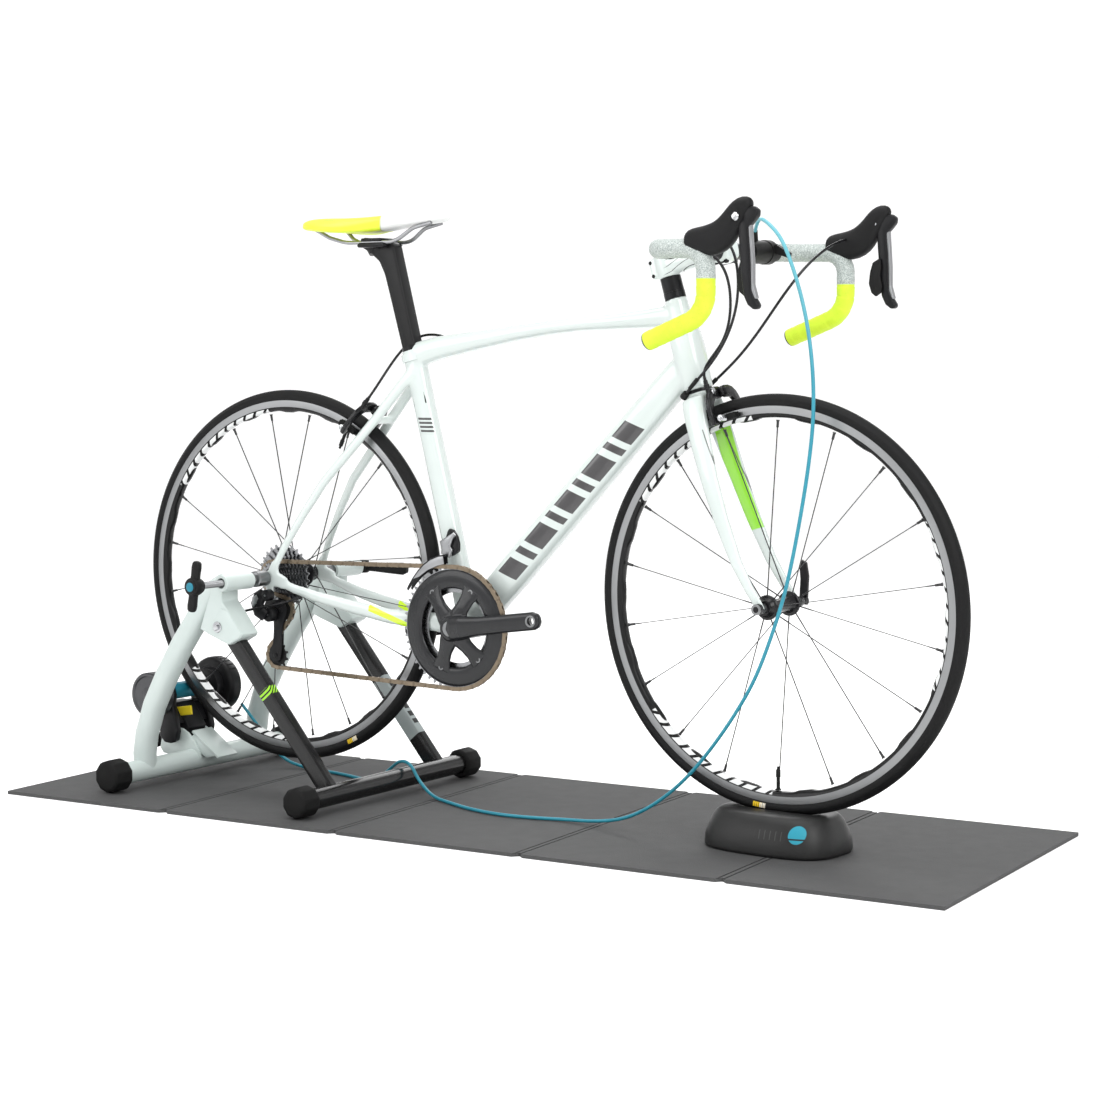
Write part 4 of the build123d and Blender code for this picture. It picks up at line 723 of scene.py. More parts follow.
def pipe(bm, points, radius, segments=16, square=2.0, closed_ends=True):
    """A round pipe along many points, with a radius or one radius per point."""
    axis = Vector((0, 1, 0))
    loops = []
    for n, point in enumerate(points):
        along = (points[min(n + 1, len(points) - 1)] - points[max(n - 1, 0)]).normalized()
        axis = axis - along * axis.dot(along)
        if axis.length < 1e-3:
            axis = along.orthogonal()
        axis.normalize()
        r = radius[n] if isinstance(radius, list) else radius
        loops.append(section(bm, point, along, 2 * r, 2 * r, square, segments, across=axis))
    skin(bm, loops, closed_ends)


# ------------------------------------------------------------------ stage and light
bm = bmesh.new()
turned_shape(bm, [(0.001, 0), (6500, 0), (7600, 160), (8500, 900), (9000, 2200), (9200, 5200)],
             Vector((0.4, 0, -0.0004)), steps=96, axis=(0, 0, 1), closed=False)
bmesh.ops.remove_doubles(bm, verts=bm.verts, dist=1e-4)
bmesh.ops.recalc_face_normals(bm, faces=bm.faces)
studio = bpy.data.meshes.new("studio")
bm.to_mesh(studio)
bm.free()
studio.polygons.foreach_set("use_smooth", [True] * len(studio.polygons))
studio.materials.append(Finish("studio_paper", (0.93, 0.93, 0.93), 0.9, emission_color=(1, 1, 1, 1),
                                emission_strength=0.22).material)
floor = bpy.data.objects.new("studio", studio)
scene.collection.objects.link(floor)

world = bpy.data.worlds.new("studio_air")
scene.world = world
world.use_nodes = True
world.node_tree.nodes["Background"].inputs["Color"].default_value = (1, 1, 1, 1)
world.node_tree.nodes["Background"].inputs["Strength"].default_value = 0.62


def lamp(name, place, aim, size, power):
    light = bpy.data.lights.new(name, "AREA")
    light.shape, light.size, light.size_y, light.energy = "RECTANGLE", size[0], size[1], power
    thing = bpy.data.objects.new(name, light)
    thing.location = place
    thing.rotation_euler = (Vector(aim) - Vector(place)).to_track_quat("-Z", "Y").to_euler()
    scene.collection.objects.link(thing)


lamp("overhead", (0.3, -0.4, 3.6), (0.45, 0, 0.3), (3.2, 2.4), 85)
lamp("key", (3.4, -1.6, 2.4), (0.6, 0, 0.5), (1.8, 1.8), 60)
lamp("side", (-1.8, -3.4, 1.9), (0.3, 0, 0.5), (2.0, 2.2), 34)
lamp("behind", (-0.8, 3.4, 2.4), (0.5, 0, 0.6), (2.6, 1.6), 40)

# ------------------------------------------------------------------ bicycle frame
bm = bmesh.new()
tube(bm, [(at(x, z), depth, width, 2.3) for x, z, depth, width in (
    (268, 778, 38, 26), (290, 786, 44, 32), (336, 797.5, 41, 34), (384, 805, 36, 33), (431, 812, 32, 34),
    (498, 822.5, 28, 35), (565, 831, 26, 37), (630, 837, 26, 38), (693, 840.5, 28, 38), (750, 844.5, 32, 37),
    (790, 848, 36, 35), (818, 850, 36, 32))], segments=28)
low, high = at(*BB) + Vector((0.004, 0, 0.004)), on_axis(416)
run = high - low
tube(bm, [(low + run * share, depth, width, 3.2) for share, depth, width in (
    (0.0, 50, 52), (0.07, 55, 52), (0.2, 59, 48), (0.45, 59, 45), (0.7, 56, 43), (0.86, 54, 41),
    (0.95, 52, 38),
    (1.0, 46, 34))], segments=28)
tube(bm, [(on_seat_tube(along), depth, width, 2.4) for along, depth, width in (
    (0, 42, 48), (30, 41, 40), (70, 40, 33), (200, 40, 31), (380, 39, 31), (450, 40, 32), (488, 40, 32))],
     segments=28)
tube(bm, [(on_axis(along), 2 * r, 2 * r) for along, r in (
    (368, 24), (380, 24.2), (400, 26), (420, 27.5), (445, 27.5), (468, 25.5), (490, 20.5), (505, 18.2),
    (521, 18.5))],
     segments=28)
bar(bm, at(*BB, -34), at(*BB, 34), 22, segments=32)
half_frame = bmesh.new()
stay = [((396, 322, 22), 36, 20), ((368, 324, 27), 36, 17), ((300, 326, 33), 30, 15), ((250, 330, 38), 27, 15),
        ((180, 342, 48), 24, 13.5), ((110, 356, 57), 21, 12), ((60, 369, 65), 18, 9), ((26, 381, 68), 17, 7)]
tube(half_frame, [(at(*p), depth, width, 2.5) for p, depth, width in stay], segments=20)
tube(half_frame, [(at(*p), depth, width, 2.2) for p, depth, width in (
    ((288, 756, 12), 24, 13), ((268, 735, 17), 21, 12), ((211, 671, 23.5), 19, 12), ((160, 614, 33), 18, 12),
    ((111, 561, 41), 17, 12), ((70, 500, 52), 16, 11), ((40, 450, 61), 15.5, 10.5), ((20, 410, 68), 15, 8),
    ((14, 396, 68), 16, 7))], segments=20)
slab(half_frame, [(-12, 388), (-8, 376), (6, 372), (40, 367), (48, 388), (26, 398), (26, 418), (12, 418),
                  (2, 399),
                  (-9, 397)], 65, 71, 1.2)
mirrored(half_frame)
slab(half_frame, [(-7, 378), (13, 374), (16, 348), (4, 345)], -71, -65, 1.2)
bar(half_frame, at(211, 671, -26), at(211, 671, 26), 7.5)
take_in(bm, half_frame)
frame_skin = piece("frame_skin", bm, paint, STAND, ("head_tube", "seat_tube", "down_tube", "top_tube",
                                                    "chainstays_and_dropouts", "seatstays_and_bridge"))
one_skin(frame_skin, 0.0026, 9)

bm = bmesh.new()
bar(bm, at(201.3, 678.8), at(183.8, 694.6), 3.0)
bar(bm, at(183.8, 694.6), at(181.0, 697.1), 5.2, segments=6)
piece("rear_brake_bolt", bm, satin_black, STAND)

# ------------------------------------------------------------------ fork and stem
bm = bmesh.new()
tube(bm, [(on_axis(along, ahead), deep, wide, 2.6) for along, ahead, deep, wide in (
    (343, 0, 34, 58), (348, 0, 41, 60), (355, 0, 44, 54), (363.5, 0, 45, 46))], segments=32, across=(0, 1, 0))
blades = bmesh.new()
tube(blades, [(on_axis(along, ahead, side), deep, wide, 2.2) for along, ahead, side, deep, wide in (
    (354, 0, 22, 43, 20), (338, 0.5, 27.5, 43, 20), (322, 1, 31, 42, 19), (280, 2.5, 37, 38, 17),
    (220, 5, 43.5, 32, 15), (150, 11, 48, 27, 13.5), (80, 21, 51.5, 21, 12), (35, 33, 53.4, 18, 9.5),
    (10, 42, 54, 17, 8), (-4, 46, 54, 16, 8))], segments=22)
mirrored(blades)
take_in(bm, blades)
fork_skin = piece("fork_skin", bm, fork_white, BARS, ("fork",), turned=True)
one_skin(fork_skin, 0.0022, 8)

bm = bmesh.new()
bar(bm, on_axis(362), on_axis(598), 14.3, segments=32)
piece("steerer", bm, satin_alloy, BARS, turned=True)

bar_centre = at(BAR_X, BAR_Z)
stem_root = on_axis(577, 4)
line = (bar_centre - stem_root).normalized()
bm = bmesh.new()
tube(bm, [(on_axis(along), 2 * r, 2 * r) for along, r in ((557, 17.5), (559, 19), (577, 19.3), (595, 19),
                                                          (597, 17.5))], segments=32)
tube(bm, [(stem_root + line * (d / 1000), deep, wide, 2.5) for d, deep, wide in (
    (-6, 34, 34), (14, 35, 36), (35, 33, 34), (60, 31, 33), (82, 33, 36), (96, 34, 40))], segments=26)
tube(bm, [(bar_centre + line * (d / 1000), deep, wide, 4.0) for d, deep, wide in (
    (-14, 34, 40), (-4, 42, 42), (6, 42, 42), (14, 38, 41), (20, 28, 38))], segments=26)
tube(bm, [(on_axis(577, -19.5, y), depth, width, 4) for y, depth, width in (
    (-14, 28, 8), (-13, 33, 13), (-1.2, 34, 14), (-1.1, 28, 9), (1.1, 28, 9), (1.2, 34, 14), (13, 33, 13),
    (14, 28, 8))],
     segments=24, across=tuple(FORE))
stem_skin = piece("stem_skin", bm, stem_white, BARS, ("stem",), turned=True)
one_skin(stem_skin, 0.0016, 6)

# ------------------------------------------------------------------ bars, tape and levers
BAR_FRONT, BAR_LOW = BAR_X + 105, BAR_Z - 140


def bar_line(side, from_y):
    points = [at(BAR_X, BAR_Z, side * from_y), at(BAR_X, BAR_Z, side * BAR_HALF),
              at(BAR_FRONT, BAR_Z - 2, side * BAR_HALF), at(BAR_FRONT, BAR_LOW + 40.3, side * BAR_HALF),
              at(BAR_X, BAR_LOW, side * BAR_HALF)]
    return rounded(points, (42, 34, 48), 1.6)


for side, hand in ((1, "left"), (-1, "right")):
    bm = bmesh.new()
    points = bar_line(side, 150)
    length, radii, travelled = 0.0, [], 0.0
    for n, point in enumerate(points):
        travelled += (point - points[n - 1]).length * 1000 if n else 0.0
        wrap = (travelled % 17.0) / 17.0
        edge = min(1.0, wrap / 0.12)
        radii.append(13.9 + 1.15 * edge * (1 - 0.55 * wrap))
    pipe(bm, points, radii, segments=28)
    piece(f"{hand}_tape", bm, tape_cloth, BARS, ("bar_tape",) if side == 1 else (), sharp=60,
          turned=True)
    bm = bmesh.new()
    end = at(BAR_X, BAR_LOW, side * BAR_HALF)
    turned_shape(bm, [(0.01, -4.5), (8, -4.2), (13, -3.0), (14.4, -1.2), (14.4, 0.3), (0.01, 0.3)], end,
                 steps=32, axis=(0.933, 0, 0.36), closed=False)
    piece(f"{hand}_bar_plug", bm, gloss_black, BARS, turned=True)
    bm = bmesh.new()
    pipe(bm, rounded([at(BAR_X, BAR_Z, side * 146), at(BAR_X, BAR_Z, side * 158)], (), 3.0), 15.3,
         segments=28)
    piece(f"{hand}_tape_band", bm, moulded_black, BARS, turned=True)

    # rubber hood: a rounded body that rises to a horn in front
    bm = bmesh.new()
    y = side * BAR_HALF
    tube(bm, [(at(x, z, y), depth, width, square) for x, z, depth, width, square in (
        (970, 961, 22, 24, 2.0), (974, 961, 34, 31, 2.2), (988, 961, 40, 33, 2.4), (1004, 960, 46, 33.5, 2.5),
        (1020, 962, 50, 33, 2.5), (1034, 969, 48, 32, 2.5), (1044, 980, 42, 31, 2.4), (1052, 991, 36, 30, 2.4),
        (1060, 1002, 34, 29, 2.3), (1069, 1010, 31, 26, 2.2), (1078, 1013, 24, 21, 2.0), (1085, 1013, 12, 12, 2.0))],
         segments=28)
    hood = piece(f"{hand}_hood", bm, hood_black, BARS, ("brake_hoods",) if side == 1 else (),
                 sharp=80, turned=True)
    modify(hood, "SUBSURF", levels=1)

    bm = bmesh.new()
    outline = [(1059, 993), (1068, 1000), (1078, 1007), (1089, 1009), (1097, 1003), (1096, 994), (1089, 986),
               (1081, 978), (1082, 964), (1084, 944), (1085, 924), (1085, 904), (1086, 886), (1091, 874),
               (1098, 864), (1096, 858), (1089, 857), (1079, 864), (1072, 878), (1069, 899), (1067, 924),
               (1065, 949), (1063, 974)]
    slab(bm, outline, y - 6.5, y + 6.5, 3.0, 3)
    piece(f"{hand}_lever_blade", bm, satin_black, f"{hand}_brake_lever", (f"{hand}_brake_lever",), sharp=50,
          turned=True)
    bm = bmesh.new()
    strip = [(1085, 1003), (1093, 999), (1090, 990), (1084, 982), (1086, 954), (1088, 924), (1088, 894),
             (1094, 874), (1091, 872), (1084.5, 886), (1083.5, 924), (1081.5, 954), (1079.5, 980),
             (1082, 994)]
    slab(bm, strip, y - 4.6, y + 4.6, 1.4)
    piece(f"{hand}_lever_face", bm, satin_alloy, f"{hand}_brake_lever", sharp=50, turned=True)
    bm = bmesh.new()
    inner = y - side * 10
    paddle = [(1059, 932), (1072, 939), (1074, 924), (1072, 909), (1076, 894), (1074, 883), (1065, 877),
              (1057, 883), (1052, 898), (1054, 916)]
    slab(bm, paddle, inner - 2.6, inner + 2.6, 1.8, 3)
    piece(f"{hand}_paddle", bm, moulded_black, f"{hand}_shift_paddle", (f"{hand}_shift_paddle",), sharp=50,
          turned=True)
    bm = bmesh.new()
    turned_shape(bm, [(0.01, 3.4), (4.5, 3.0), (6.3, 1.2), (6.3, -2.0), (0.01, -2.0)], at(*LEVER_PIN, y) +
                 Vector((0, side * 0.0145, 0)), steps=24, axis=(0, side, 0), closed=False)
    bar(bm, at(*LEVER_PIN, y - 13), at(*LEVER_PIN, y + 13), 2.2)
    piece(f"{hand}_lever_pin", bm, bright_alloy, BARS, turned=True)

bm = bmesh.new()
tops = [at(BAR_X, BAR_Z, y) for y in (-152, -90, -62, -46, -30, -15, 0, 15, 30, 46, 62, 90, 152)]
pipe(bm, tops, [12, 12, 12.2, 13.2, 15.4, 15.9, 15.9, 15.9, 15.4, 13.2, 12.2, 12, 12], segments=28)
piece("bar_tops", bm, satin_black, BARS, ("handlebar",), turned=True)

# ------------------------------------------------------------------ saddle
bm = bmesh.new()
tube(bm, [(at(x, z), height, width, 2.6) for x, z, height, width in (
    (62, 1012, 5, 50), (66, 1013, 13, 84), (80, 1013.5, 19, 112), (105, 1013, 22, 128), (135, 1012, 24, 130),
    (165, 1012, 26, 112), (195, 1013, 27, 82), (225, 1015, 27, 58), (260, 1018, 26, 47), (300, 1021, 25, 41),
    (330, 1023, 23, 36), (348, 1023.5, 19, 29), (358, 1023, 8, 15))], segments=36)
for v in bm.verts:
    side = abs(v.co.y) * 1000
    x = v.co.x * 1000
    tail = max(0.0, min(1.0, (215 - x) / 90))
    v.co.z -= 0.00000165 * side ** 2 * (0.7 + 1.3 * (1 - tail)) * 1.4
    if v.co.z > at(0, 1012).z:
        v.co.z += 0.004 * tail * max(0.0, 1 - abs(side - 38) / 30) - 0.0022 * max(0.0, 1 - side / 9)
seat_top = piece("saddle_skin", bm, cover, "saddle_and_post", ("saddle",), sharp=80)
modify(seat_top, "SUBSURF", levels=2)

bm = bmesh.new()
for side in (1, -1):
    rail = [at(100, 1004, side * 44), at(122, 990, side * 34), at(150, 981, side * 23), at(258, 981, side * 22),
            at(292, 1004, side * 17), at(330, 1012, side * 15)]
    pipe(bm, rounded(rail, (30, 50, 50, 40), 4.0), 3.5, segments=14)
piece("saddle_rails", bm, satin_alloy, "saddle_and_post")

bm = bmesh.new()
tube(bm, [(at(x, z), depth, width, square) for x, z, depth, width, square in (
    (200, 964, 27, 28, 2.0), (196, 972, 32, 30, 2.4), (200, 979, 44, 40, 4.0))], segments=26)
slab(bm, [(178, 972), (234, 972), (238, 977), (232, 981), (182, 981), (176, 977)], -27, 27, 2.0)
slab(bm, [(184, 982), (230, 982), (228, 988), (186, 988)], -27, 27, 1.5)
piece("post_head", bm, satin_black, "saddle_and_post")

# ------------------------------------------------------------------ wheels
def arc(radius, start, end, count, centre=(0, 0)):
    """Points on an arc between two angles in degrees."""
    steps = [radians(start + (end - start) * n / count) for n in range(count + 1)]
    return [(centre[0] + radius * cos(a), centre[1] + radius * sin(a)) for a in steps]


def polar(centre, radius, angle, y):
    return at(centre[0] + radius * cos(angle), centre[1] + radius * sin(angle), y)


def make_wheel(name, spokes, flanges, flange_r, crossed, valve):
    front = name == "front"
    body, centre = f"{name}_wheel", FRONT_AXLE if front else REAR_AXLE
    middle = at(*centre)
    side = [(316.6, 9.3), (318.2, 10.6), (320.5, 11.8), (323.5, 12.4), (327, 12.1), (328.2, 11.6),
            (328.6, 11.2),
            (331.5, 9.3), (334, 6.4), (335.5, 3.2), (336, 0)]
    bm = bmesh.new()
    turned_shape(bm, side + [(r, -y) for r, y in side[-2::-1]] + [(314, -6), (314, 6)], middle, steps=220)
    piece(f"{name}_tyre_skin", bm, finish_of[f"{name}_tyre"], body, (f"{name}_tyre",), sharp=50, turned=front)
    half = [(317.4, 8.3), (317.5, 9.7), (316.8, 9.9), (305.6, 9.75), (305.2, 9.35), (303.6, 9.1), (300, 7.6),
            (297, 5.6), (295.4, 3.2), (295, 0)]
    bm = bmesh.new()
    turned_shape(bm, half + [(r, -y) for r, y in half[-2::-1]] + [(309, -8.3), (309, 8.3)], middle, steps=240)
    for v in bm.verts:
        reach, turn = hypot(v.co.x - middle.x, v.co.z - middle.z), atan2(v.co.z - middle.z, v.co.x - middle.x)
        if reach < 0.3:
            bay = abs(turn * spokes / (2 * pi) % 1.0 - 0.5) * 2
            push = 0.0032 * (0.3 - reach) / 0.005 * max(0.0, min(1.0, (0.78 - bay) * 5))
            v.co += (v.co - Vector((middle.x, v.co.y, middle.z))).normalized() * push
    piece(f"{name}_rim_skin", bm, finish_of[f"{name}_rim"], body, (f"{name}_rim",), sharp=40, turned=front)
    bm = bmesh.new()
    for n in range(spokes):
        shift = (1.6 if n % 4 < 2 else -1.6) if crossed else 0.0
        lean = (0.95 if n % 4 < 2 else -0.95) if crossed else 0.0
        angle = 2 * pi * n / spokes + pi / spokes
        hub_end = polar(centre, flange_r, angle + lean, flanges[n % 2] + shift)
        rim_end = polar(centre, 294.6, angle, (flanges[n % 2] + shift) / 30)
        run = (rim_end - hub_end).normalized()
        tube(bm, [(hub_end, 2.2, 2.2), (hub_end + run * 0.02, 2.2, 2.2), (hub_end + run * 0.03, 1.4, 2.8),
                  (rim_end - run * 0.03, 1.4, 2.8), (rim_end - run * 0.02, 2.2, 2.2), (rim_end - run * 0.012, 2.2, 2.2),
                  (rim_end - run * 0.0118, 4.2, 4.2), (rim_end - run * 0.003, 4.4, 4.4), (rim_end, 6.4, 6.4)],
             segments=10, across=(0, 1, 0))
    piece(f"{name}_spoke_set", bm, spoke_steel, body, (f"{name}_spokes",), sharp=50, turned=front)
    bm = bmesh.new()
    start, end = polar(centre, 297, valve, 0), polar(centre, 259, valve, 0)
    run = end - start
    tube(bm, [(start + run * share, 2 * r, 2 * r) for share, r in (
        (0, 5.0), (0.04, 5.0), (0.05, 3.0), (0.55, 3.0), (0.56, 3.9), (0.86, 3.7), (0.88, 2.4), (1.0, 2.0))],
         segments=16)
    piece(f"{name}_valve", bm, moulded_black, body, turned=front)


def round_piece(name, profile, centre, material, body, stands_for=(), steps=48, turned=False,
                sharp=35,
                closed=True, axis=(0, 1, 0)):
    bm = bmesh.new()
    turned_shape(bm, profile, centre, steps=steps, closed=closed, axis=axis)
    return piece(name, bm, material, body, stands_for, sharp, turned)


make_wheel("front", 18, (-33, 33), 20.0, False, radians(-90))
make_wheel("rear", 20, (-14, 36), 23.4, True, radians(64))
front_middle, rear_middle = at(*FRONT_AXLE), at(*REAR_AXLE)
hub_half = [(5.2, 44.6), (11.5, 44.6), (12, 43.5), (12, 41), (13.6, 39), (15.8, 36), (19.2, 35.2), (20, 34.3),
            (20, 31.6), (19.2, 30.8), (15, 30.4), (12.6, 26), (11.4, 18), (11.1, 0)]
round_piece("front_hub_shell", hub_half + [(r, -y) for r, y in hub_half[-2::-1]], front_middle, gloss_black,
            "front_wheel", ("front_hub",), turned=True)
rear_shell = [(5.2, 59.6), (13, 59.6), (15, 58), (15, 44), (17, 41), (22.4, 38.4), (23, 37.4), (23, 34.8),
              (22, 34),
              (16, 32), (14.4, 24), (14, 8), (15.5, -6), (22, -11.6), (23, -12.6), (23, -15.2), (21.5, -16.2),
              (15, -16.5), (5.2, -16.5)]
round_piece("rear_hub_shell", rear_shell, rear_middle, gloss_black, "rear_wheel", ("rear_hub",))
for side in (1, -1):
    nut = [(0.01, 18.2), (5, 18), (8.2, 16.4), (8.6, 15.4), (8.6, 12.6), (8.0, 12), (8.6, 11.4), (8.6, 8.5),
           (0.01, 8.5)]
    round_piece(f"skewer_nut_{side}", [(r, side * (y + 50)) for r, y in nut], front_middle, satin_black, BARS,
                closed=False, turned=True, steps=32)

# ------------------------------------------------------------------ brakes
def plate(bm, outline, place, low, high, soft=0.0, segments=2):
    """A flat plate with an outline laid out by a placing rule, between two depths, with softened edges."""
    verts = [bm.verts.new(place(u, v, low)) for u, v in outline]
    grown = bmesh.ops.extrude_face_region(bm, geom=[bm.faces.new(verts)])["geom"]
    moved = [g for g in grown if isinstance(g, bmesh.types.BMVert)]
    bmesh.ops.translate(bm, verts=moved, vec=place(0, 0, high) - place(0, 0, low))
    soften(bm, verts + moved, soft, segments)


ARM_OUTLINE = [(-9, 4), (-5, 9), (2, 11), (14, 11), (24, 8), (33, 1), (39, -9), (42, -22), (42, -38),
               (39, -52),
               (31, -53), (29, -46), (31, -36), (30, -26), (25, -16), (17, -9), (9, -9), (2, -9), (-6, -6)]


def make_brake(name, origin, left, out, reach, tilt, turned, cable_side):
    up = out.cross(left)
    for side, low, hand in ((-1, 14, "right"), (1, 23, "left")):
        body = f"{name}_brake_{hand}"

        def place(u, v, w):
            return origin + left * (side * u / 1000) + up * (v / 1000) + out * (w / 1000)

        stretch = (reach + 9) / 53
        bm = bmesh.new()
        plate(bm, [(u, v * stretch if v < -20 else v) for u, v in ARM_OUTLINE], place, low, low + 8, 2.2, 3)
        arm = piece(f"{name}_{hand}_caliper_arm", bm, gloss_black, body, (f"{name}_brake_{hand}_arm",),
                    sharp=50, turned=turned)
        bm = bmesh.new()
        lean = radians(tilt)

        def shoe(u, v, w):
            return place(u, -reach + v * cos(lean) - w * sin(lean), 33 + v * sin(lean) + w * cos(lean))

        plate(bm, [(15.6, -5), (24.5, -5), (24.5, 5), (15.6, 5)], shoe, -19, 19, 1.4)
        plate(bm, [(12.4, -4.2), (16.2, -4.6), (16.2, 4.6), (12.4, 4.2)], shoe, -21, 21, 0.8)
        piece(f"{name}_{hand}_pad", bm, rubber_black, body, turned=turned)
        bm = bmesh.new()
        turned_shape(bm, [(0.01, 6.5), (2.4, 6.3), (2.6, 5.0), (5.0, 4.8), (5.4, 4.2), (5.4, -8), (0.01, -8)],
                     place(34, -reach, 33), steps=24, axis=left * side, closed=False)
        turned_shape(bm, [(0.01, 2.6), (2.2, 2.6), (2.4, 1.2), (5.0, 1.2), (5.6, 0.6), (5.6, -1.0),
                          (0.01, -1.0)],
                     place(0 if side == 1 else 20, 0 if side == 1 else 3, low + 8), steps=24, axis=out,
                     closed=False)
        piece(f"{name}_{hand}_brake_bolts", bm, bright_alloy, body, turned=turned)
        if side == cable_side:
            bm = bmesh.new()
            tube(bm, [(place(30, z, low + 4), r, r) for z, r in (
                (-2, 7), (8, 7), (8.2, 9.4), (15, 9.4), (15.4, 7.4), (22, 7), (22.2, 5.2), (27, 5))],
                segments=12)
            piece(f"{name}_barrel_adjuster", bm, satin_black, body, turned=turned)


make_brake("front", on_axis(353, 17), Vector((0, 1, 0)), FORE, 44, 0, True, -1)
bridge_up = (at(288, 756) - at(211, 671)).normalized()
bridge_out = Vector((-bridge_up.z, 0, bridge_up.x))
REAR_BRIDGE = at(211, 671)
make_brake("rear", REAR_BRIDGE + bridge_out * 0.005, Vector((0, -1, 0)), bridge_out, 52, REAR_TILT, False, 1)

# ------------------------------------------------------------------ drive train
RING_R, COG_R, PULLEY_R = (CHAIN_PITCH / (2 * sin(pi / teeth)) for teeth in (BIG_RING, CHAIN_COG, PULLEY_TEETH))


def toothed(bm, centre, teeth, thick, y, inner_r, height=2.5, depth=3.2):
    """A flat sprocket: blunt teeth round a pitch circle and a round hole."""
    pitch = CHAIN_PITCH / (2 * sin(pi / teeth))
    radii = (pitch - depth, pitch - 0.4, pitch + height, pitch + height, pitch - 0.4, pitch - depth)
    angles = (-0.22, -0.17, -0.07, 0.07, 0.17, 0.22)
    loops = []
    for level, shrink, inside in ((-0.5, 0.6, 0), (-0.25, 0, 0), (0.25, 0, 0), (0.5, 0.6, 0), (0.5, 0, 1),
                                  (-0.5, 0, 1)):
        loop = []
        for tooth in range(teeth):
            for r, share in zip(radii, angles):
                reach = inner_r if inside else (r - shrink if r > pitch else r)
                turn = 2 * pi * (tooth + 0.5 + share) / teeth
                loop.append(bm.verts.new(polar(centre, reach, turn, y + level * thick)))
        loops.append(loop)
    for first, second in zip(loops, loops[1:] + loops[:1]):
        for n in range(len(first)):
            bm.faces.new((first[n - 1], first[n], second[n], second[n - 1]))


def chain_path():
    wheels = [(BB, RING_R, 1), (TENSION_PULLEY, PULLEY_R, 1), (GUIDE_PULLEY, PULLEY_R, -1),
              (REAR_AXLE, COG_R, 1)]
    runs = []
    for (a, ra, sa), (b, rb, sb) in zip(wheels, wheels[1:] + wheels[:1]):
        heading, gap = atan2(b[1] - a[1], b[0] - a[0]), hypot(b[0] - a[0], b[1] - a[1])
        normal = heading + pi / 2 - asin((sa * ra - sb * rb) / gap)
        runs.append((normal, (a[0] + sa * ra * cos(normal), a[1] + sa * ra * sin(normal)),
                     (b[0] + sb * rb * cos(normal), b[1] + sb * rb * sin(normal))))
    points = []
    for n, (normal, leave, arrive) in enumerate(runs):
        count = max(1, int(hypot(arrive[0] - leave[0], arrive[1] - leave[1])))
        points += [(leave[0] + (arrive[0] - leave[0]) * k / count,
                    leave[1] + (arrive[1] - leave[1]) * k / count)
                   for k in range(count)]
        centre, radius, sense = wheels[(n + 1) % len(wheels)]
        start, end = normal, runs[(n + 1) % len(runs)][0]
        turn = (start - end) % (2 * pi) if sense == 1 else (end - start) % (2 * pi)
        count = max(1, int(radius * turn))
        for k in range(count):
            angle = start - sense * turn * k / count
            points.append((centre[0] + sense * radius * cos(angle), centre[1] + sense * radius * sin(angle)))
    return points


def make_chain():
    points = chain_path()
    gaps = [hypot(b[0] - a[0], b[1] - a[1]) for a, b in zip(points, points[1:] + points[:1])]
    whole = sum(gaps)
    links = 2 * round(whole / CHAIN_PITCH / 2)
    pins, travelled, wanted = [], 0.0, 0.0
    for a, b, gap in zip(points, points[1:] + points[:1], gaps):
        while wanted <= travelled + gap and len(pins) < links:
            share = (wanted - travelled) / gap
            pins.append((a[0] + (b[0] - a[0]) * share, a[1] + (b[1] - a[1]) * share))
            wanted += whole / links
        travelled += gap
    bm = bmesh.new()
    for n, (a, b) in enumerate(zip(pins, pins[1:] + pins[:1])):
        turn = atan2(b[1] - a[1], b[0] - a[0])
        gap = hypot(b[0] - a[0], b[1] - a[1])
        ends = arc(4.1, 60, 300, 6)
        outline = ends + [(gap - u, -v) for u, v in ends]
        inner = 2.3 if n % 2 else 1.2

        def place(u, v, w):
            return at(a[0] + u * cos(turn) - v * sin(turn), a[1] + u * sin(turn) + v * cos(turn), CHAIN_Y + w)

        for side in (1, -1):
            plate(bm, outline, place, side * inner, side * (inner + 0.9), 0.25, 1)
        bar(bm, place(0, 0, -3.5), place(0, 0, 3.5), 1.8, segments=10)
        bar(bm, place(0, 0, -2.0), place(0, 0, 2.0), 3.9, segments=12)
    piece("chain_links", bm, chain_steel, body_of["chain"], ("chain",), sharp=30)


make_chain()
bm = bmesh.new()
toothed(bm, BB, BIG_RING, 2.1, CHAIN_Y, 96)
toothed(bm, BB, SMALL_RING, 2.0, CHAIN_Y + 7.5, 61)
piece("ring_teeth", bm, cog_steel, "crankset", ("chainrings",), sharp=30)
dish = [(100.5, -47), (100.8, -49.4), (99, -50.6), (95, -51.7), (88, -52.6), (80, -53.0), (73, -52.6),
        (69.5, -51.4),
        (68.4, -49.6), (69.5, -47.6), (74, -46.9)]
round_piece("ring_face", dish, at(*BB), ring_gloss, "crankset", steps=160, sharp=50)

def crank_place(along, across, y):
    return at(BB[0] + along * cos(CRANK_LIFT) - across * sin(CRANK_LIFT),
              BB[1] + along * sin(CRANK_LIFT) + across * cos(CRANK_LIFT), y)


